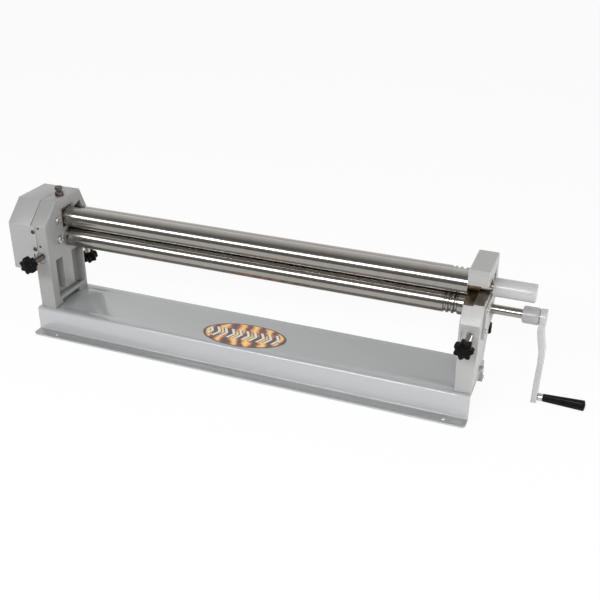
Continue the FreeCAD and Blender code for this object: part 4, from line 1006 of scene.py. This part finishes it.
# %% Grip and spindle
low, high, grip_axis = box_mm("crank_grip")
grip_length = high.x - low.x
GRIP_OUTLINE = [
    (0, SPINDLE_R + 0.05), (0, 6.9, None, 0.2), (0.5, 7.6, None, 0.6), (1.4, 7.9, None, 1),
    (grip_length * 0.3, 8.75, None, 1), (grip_length * 0.65, 9.8, None, 1),
    (grip_length - 4.5, 10.7, None, 1), (grip_length - 2.4, 10.75, None, 0.9),
    (grip_length - 0.9, 10.1, None, 0.6), (grip_length - 0.1, 8.6, None, 0.2), (grip_length, 7.2),
    (grip_length, SPINDLE_R + 0.05), (0, SPINDLE_R + 0.05)]
turned("crank_grip", "_moulded", GRIP_OUTLINE, grip_plastic, (low.x, grip_axis.y, grip_axis.z),
       facets=144, lobes=12.0, valley_depth=0.0007, valley_width=0.8)
low, high, _ = box_mm("grip_spindle")
start, head = low.x, high.x
turned("grip_spindle", "_riveted",
       [(start, 0), (start, SPINDLE_R - 0.4), (start + 0.4, SPINDLE_R), (head - 1.2, SPINDLE_R),
        (head - 1.2, 5.2), (head - 0.8, 5.5), (head - 0.4, 5.0), (head - 0.1, 3.0), (head, 0)],
       machined_steel, (0, grip_axis.y, grip_axis.z))
print("grip length, mm:", round(grip_length, 1))

# %% [markdown]
# Hexagon heads clamp the swivel and the feet. A hexagon is also a lathe outline here, because the tree
# cuts a ring to a hexagon at any point that names half its width across flats. A ring that is a little
# larger than the flats but smaller than the corners gives the curved chamfer of a real bolt.

# %% Outlines of bolts
TO_CORNER = 1 / math.cos(math.pi / 6)
BOLT_PITCH = 1.25
BOLT_DIP_AT = 0.62


def hexagon_head(start, height, across):
    """Washer face, flats and chamfer of a head, from its bearing side outwards."""
    half = across / 2
    corner, top = half * TO_CORNER, start + height
    return [(start, half * 0.93), (start + 0.5, half * 0.95), (start + 0.5, corner, half),
            (top - 1.5, corner, half), (top - 0.9, half * 1.07, half), (top - 0.4, half * 1.01, half),
            (top, half * 0.93), (top - 0.3, half * 0.7), (top - 0.3, 0)]


def bolt(start, head_at, height, radius, across, rings):
    """A shank that starts with thread rings and ends at a hexagon head."""
    points = [(start, 0), (start, radius - 0.8), (start + 0.8, radius)]
    points += thread_rings(start + 1.2, rings, BOLT_PITCH, BOLT_DIP_AT, radius, 0.5)
    return points + [(head_at, radius)] + hexagon_head(head_at, height, across)


def joined(name, pieces):
    """Join several meshes into one piece."""
    shape = bmesh.new()
    for piece in pieces:
        shape.from_mesh(piece.data)
        bpy.data.objects.remove(piece)
    mesh = bpy.data.meshes.new(name)
    shape.to_mesh(mesh)
    shape.free()
    smooth(mesh)
    return place_in_scene(name, mesh)


print("corner to flat:", round(TO_CORNER, 3))

# %% The swivel's bolt, nut and pin
UP = (0, 0, 1)
NUT_HALF = 9.0

low, high, swivel_middle = box_mm("swivel_bolt")
swivel_length = high.z - low.z
turned("swivel_bolt", "_turned", bolt(0, swivel_length - 7, 7, 6, 16, 34), brown_steel,
       (swivel_middle.x, swivel_middle.y, low.z), UP)
low, high, _ = box_mm("swivel_lock_nut")
top = high.z - low.z
turned("swivel_lock_nut", "_turned",
       [(0, 6.1), (0, 8.5), (0.5, 9.1, NUT_HALF), (1.1, 10.4, NUT_HALF), (top - 1.4, 10.4, NUT_HALF),
        (top - 0.6, 9.5, NUT_HALF), (top, 8.6), (top - 0.5, 6.1), (0, 6.1)],
       brown_steel, (swivel_middle.x, swivel_middle.y, low.z), UP)
low, high, _ = box_mm("swivel_pivot_pin")
top = high.z - low.z
turned("swivel_pivot_pin", "_turned", [(0, 0), (0, 3.5), (0.5, 4), (top - 0.5, 4), (top, 3.5), (top, 0)],
       machined_steel, (swivel_middle.x, swivel_middle.y, low.z), UP, facets=32)
print("swivel bolt length, mm:", round(swivel_length, 1))

# %% Foot bolts
FOOT_ACROSS = 16

for end in ("left", "right"):
    low, high, middle = box_mm(f"{end}_foot_bolts")
    length = high.z - low.z
    places = [low.y + FOOT_ACROSS / 2, high.y - FOOT_ACROSS / 2]
    pair = [spun(f"{end}_foot_bolt_{i}", bolt(-length, -7, 7, 5, FOOT_ACROSS, 14), black_oxide,
                 (middle.x, y, low.z), (0, 0, -1), facets=48) for i, y in enumerate(places)]
    stand_for(joined(f"{end}_foot_bolts_turned", pair), f"{end}_foot_bolts", black_oxide)
low, high, middle = box_mm("right_foot_side_bolt")
turned("right_foot_side_bolt", "_turned", bolt(0, high.x - low.x - 8, 8, 4, 13, 6), zinc_plate,
       (low.x, middle.y, middle.z))
print("foot bolt length, mm:", round(length, 1))

# %% [markdown]
# Socket screws repeat all over the two heads. A second tree puts them in: it takes a few points, each
# with the direction in which its screw goes in, sets a copy of one screw on every point, and gives each
# a turn of its own about its axis from a fixed seed, because nobody lines up their sockets.

# %% The screw tree
screw_tree, screw_in = start_tree("set_screws_in", [
    ("Places", "Geometry"), ("Screw", "Object"), ("Seed", "Int"), ("Finish", "Material")], "Screws")
lay_down = add_node(screw_tree, "FunctionNodeAlignRotationToVector",
                    {"Vector": named(screw_tree, "aim", "FLOAT_VECTOR")}, axis="X")
own_turn = add_node(screw_tree, "FunctionNodeRandomValue", {3: 2 * math.pi, "Seed": (screw_in, "Seed")},
                    data_type="FLOAT")
own_axis = add_node(screw_tree, "FunctionNodeAxisAngleToRotation",
                    {"Axis": (1, 0, 0), "Angle": (own_turn, 1)})
turned_screw = add_node(screw_tree, "FunctionNodeRotateRotation",
                        {"Rotation": (lay_down, "Rotation"), "Rotate By": (own_axis, "Rotation")},
                        rotation_space="LOCAL")
one_screw = add_node(screw_tree, "GeometryNodeObjectInfo", {"Object": (screw_in, "Screw")})
set_in = add_node(screw_tree, "GeometryNodeInstanceOnPoints",
                  {"Points": (screw_in, "Places"), "Instance": (one_screw, "Geometry"),
                   "Rotation": (turned_screw, "Rotation")})
end_tree(screw_tree, (set_in, "Instances"), screw_in, "Screws")

# %% Screw outlines and their use
SOCKET_CORNER = 1.16


def socket_screw(radius, head_r, head, length, dome=0.0):
    """A socket cap screw along +X, its head before 0 and its shank after, with a hexagon socket."""
    wall = radius * 0.9
    return [(length, 0), (length, radius - 0.4), (length - 0.4, radius), (0, radius), (0, head_r - 0.15),
            (-0.3, head_r), (-head + 0.5 + dome, head_r), (-head + 0.15 + dome * 0.4, head_r - 0.45),
            (-head, head_r * 0.72), (-head, wall * 1.25), (-head + 0.4, wall * SOCKET_CORNER, wall),
            (-head * 0.4, wall * SOCKET_CORNER, wall), (-head * 0.4, 0)]


def set_screw(radius, length):
    """A headless screw along +X with its socket at 0."""
    wall = radius * 0.55
    return [(length, 0), (length, radius - 0.7), (length - 0.7, radius), (0.5, radius),
            (0, radius - 0.5), (0, wall * 1.25), (0.3, wall * SOCKET_CORNER, wall),
            (2.0, wall * SOCKET_CORNER, wall), (2.0, 0)]


def put_screws(name, outline, places, finish, seed):
    """Places are (x, y, z, aim) in mm. Returns one plain mesh piece."""
    pattern = spun(name + "_pattern", outline, finish, facets=24)
    dots = bpy.data.meshes.new(name + "_places")
    dots.from_pydata([Vector(place[:3]) / 1000 for place in places], [], [])
    aims = dots.attributes.new("aim", "FLOAT_VECTOR", "POINT")
    aims.data.foreach_set("vector", [c for place in places for c in place[3]])
    piece = place_in_scene(name, dots)
    maker = piece.modifiers.new("screws", "NODES")
    maker.node_group = screw_tree
    set_inputs(maker, {"Screw": pattern, "Seed": seed, "Finish": finish})
    apply_modifiers(piece)
    bpy.data.objects.remove(pattern)
    smooth(piece.data)
    return piece


def screws_for(node, outline, places, finish, seed):
    return stand_for(put_screws(node + "_set", outline, places, finish, seed), node, finish)


print("screw helpers ready")

# %% Cover and keeper screws
HEAD_LEAN = math.radians(14.28)
COVER_X, PLATE_X, LEFT_INNER = -493, 503, -461
INWARD, FROM_LEFT, FROM_RIGHT = (0, 1, 0), (1, 0, 0), (-1, 0, 0)
INTO_REAR = (0, -math.cos(HEAD_LEAN), -math.sin(HEAD_LEAN))
COVER_SCREWS = [(COVER_X, -70, 243, INWARD), (COVER_X, -70, 202, INWARD),
                (COVER_X, 100.8, 232.0, INTO_REAR), (COVER_X, 107.2, 206.8, INTO_REAR)]
REAR_PAIR, FRONT_PAIR = [(53, 180), (49, 226)], [(-30, 180), (-30, 226)]

screws_for("gear_cover_screws", socket_screw(1.8, 4.8, 2, 10, dome=0.5), COVER_SCREWS, brown_steel, 3)
left_small = put_screws("left_plate_screws", socket_screw(2.5, 4.5, 4, 11.5),
                        [(-PLATE_X, y, z, FROM_LEFT) for y, z in REAR_PAIR], zinc_plate, 5)
left_through = put_screws("left_through_screws", socket_screw(3, 8.4, 5.5, 42, dome=1.6),
                          [(LEFT_INNER, -22, z, FROM_RIGHT) for z in (257, 212)], zinc_plate, 7)
stand_for(joined("left_keeper_screws_set", [left_small, left_through]), "left_keeper_screws", zinc_plate)
right_four = [(PLATE_X, y, z, FROM_RIGHT) for y, z in REAR_PAIR + FRONT_PAIR]
screws_for("right_keeper_screws", socket_screw(2.5, 4.5, 2.5, 11.5), right_four, zinc_plate, 11)
print("screws set:", len(COVER_SCREWS) + len(REAR_PAIR) + 2 + len(right_four))

# %% Headless screws
# Black headless screws sit flush in the two blind holes at the front of the left head; their black is
# painted shade for the inside of the holes.
BLIND_HOLES = [(-480, -68.15, z, INWARD) for z in (252, 209)]

hole_shade_pair = put_screws("front_set_screws", set_screw(3.1, 8), BLIND_HOLES, black_oxide, 13)
give_finish(hole_shade_pair, black_oxide)
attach(hole_shade_pair, node_body["left_casting"])
for node, aim, finish in (("crank_set_screw", Vector((0, 0, -1)), casting_enamel),
                          ("release_handle_screw", Vector((0, -1, 0)), black_oxide)):
    low, high, middle = box_mm(node)
    start = middle - aim * abs((high - low).dot(aim)) / 2
    screws_for(node, set_screw(2.95, 6.2), [(*start, aim)], finish, 17)
print("headless screws: 4")

# %% [markdown]
# The castings, the cover and the base are grey enamel, sprayed thicker on the castings, whose skin
# shows the sand mould, than on the folded sheet, which is smooth enough to mirror the rolls. The open
# slot of the right casting is machined, and its floor is rubbed bare.

# %% Enamelled pieces
SLOT_FLOOR = ((0.4785, -0.0452, 0.2394), (0.4985, 0.0358, 0.2700))

# The left casting takes the darker copy of the enamel, as painted shade.
softened("left_casting", shaded_left_enamel, 0.0020, segments=3)
right_casting = softened("right_casting", casting_enamel, 0.0020, segments=3)
right_casting.data.materials.append(rubbed_iron)
for face in right_casting.data.polygons:
    if all(low <= c <= high for low, c, high in zip(SLOT_FLOOR[0], face.center, SLOT_FLOOR[1])):
        face.material_index = 1
softened("gear_cover", cover_enamel, 0.0009)
softened("crank_hub", cover_enamel, 0.0008)
softened("crank_arm", handle_enamel, 0.0012)
softened("release_handle", handle_enamel, 0.0009)
softened("base_channel", base_enamel, 0.0006, round_corners=flange_corners)
print("enamelled: 7")

# %% [markdown]
# The bearing blocks, wedges, plates and gears are machined, and their edges are only broken with a
# file. They keep the frame's shapes and get narrow bevels, so that light finds their edges.

# %% Machined pieces
MACHINED = [
    ("left_keeper_plate", machined_steel, 0.0004), ("right_keeper_plate", casting_enamel, 0.0005),
    ("slot_saddle", oiled_plate, 0.0004), ("swivel_block", bearing_iron, 0.0006),
]
for kind, finish, width in (("lower_block", bearing_iron, 0.0005), ("rear_block", bearing_iron, 0.0005),
                            ("wedge", machined_steel, 0.0004)):
    MACHINED += [(f"{kind}_{end}", finish, width) for end in ("left", "right")]
for kind in ("gear", "gear_key"):
    MACHINED += [(f"{roll}_{kind}", machined_steel, 0.0003) for roll in ("lower", "upper")]
for node, finish, width in MACHINED:
    softened(node, finish, width, segments=1)
print("machined:", len(MACHINED))

# %% [markdown]
# Only the sticker keeps the frame's own mesh. Every slot of the frame still gets its finish here, so
# that no piece is left grey when one of the copies above is taken out.

# %% Finishes of the frame's own meshes
SLOT_FINISH = {
    "casting_paint": casting_enamel, "base_paint": base_enamel, "sticker": sticker_print,
    "ground_steel": ground_steel, "machined_steel": machined_steel, "oiled_steel": oiled_plate,
    "cast_block": bearing_iron, "bronze": bush_bronze, "black_plastic": knob_plastic,
    "black_screw": black_oxide, "zinc_fastener": zinc_plate,
}
for name, node in nodes.items():
    give_finish(node, SLOT_FINISH[node_slot[name]])
print("finishes given:", len(SLOT_FINISH))
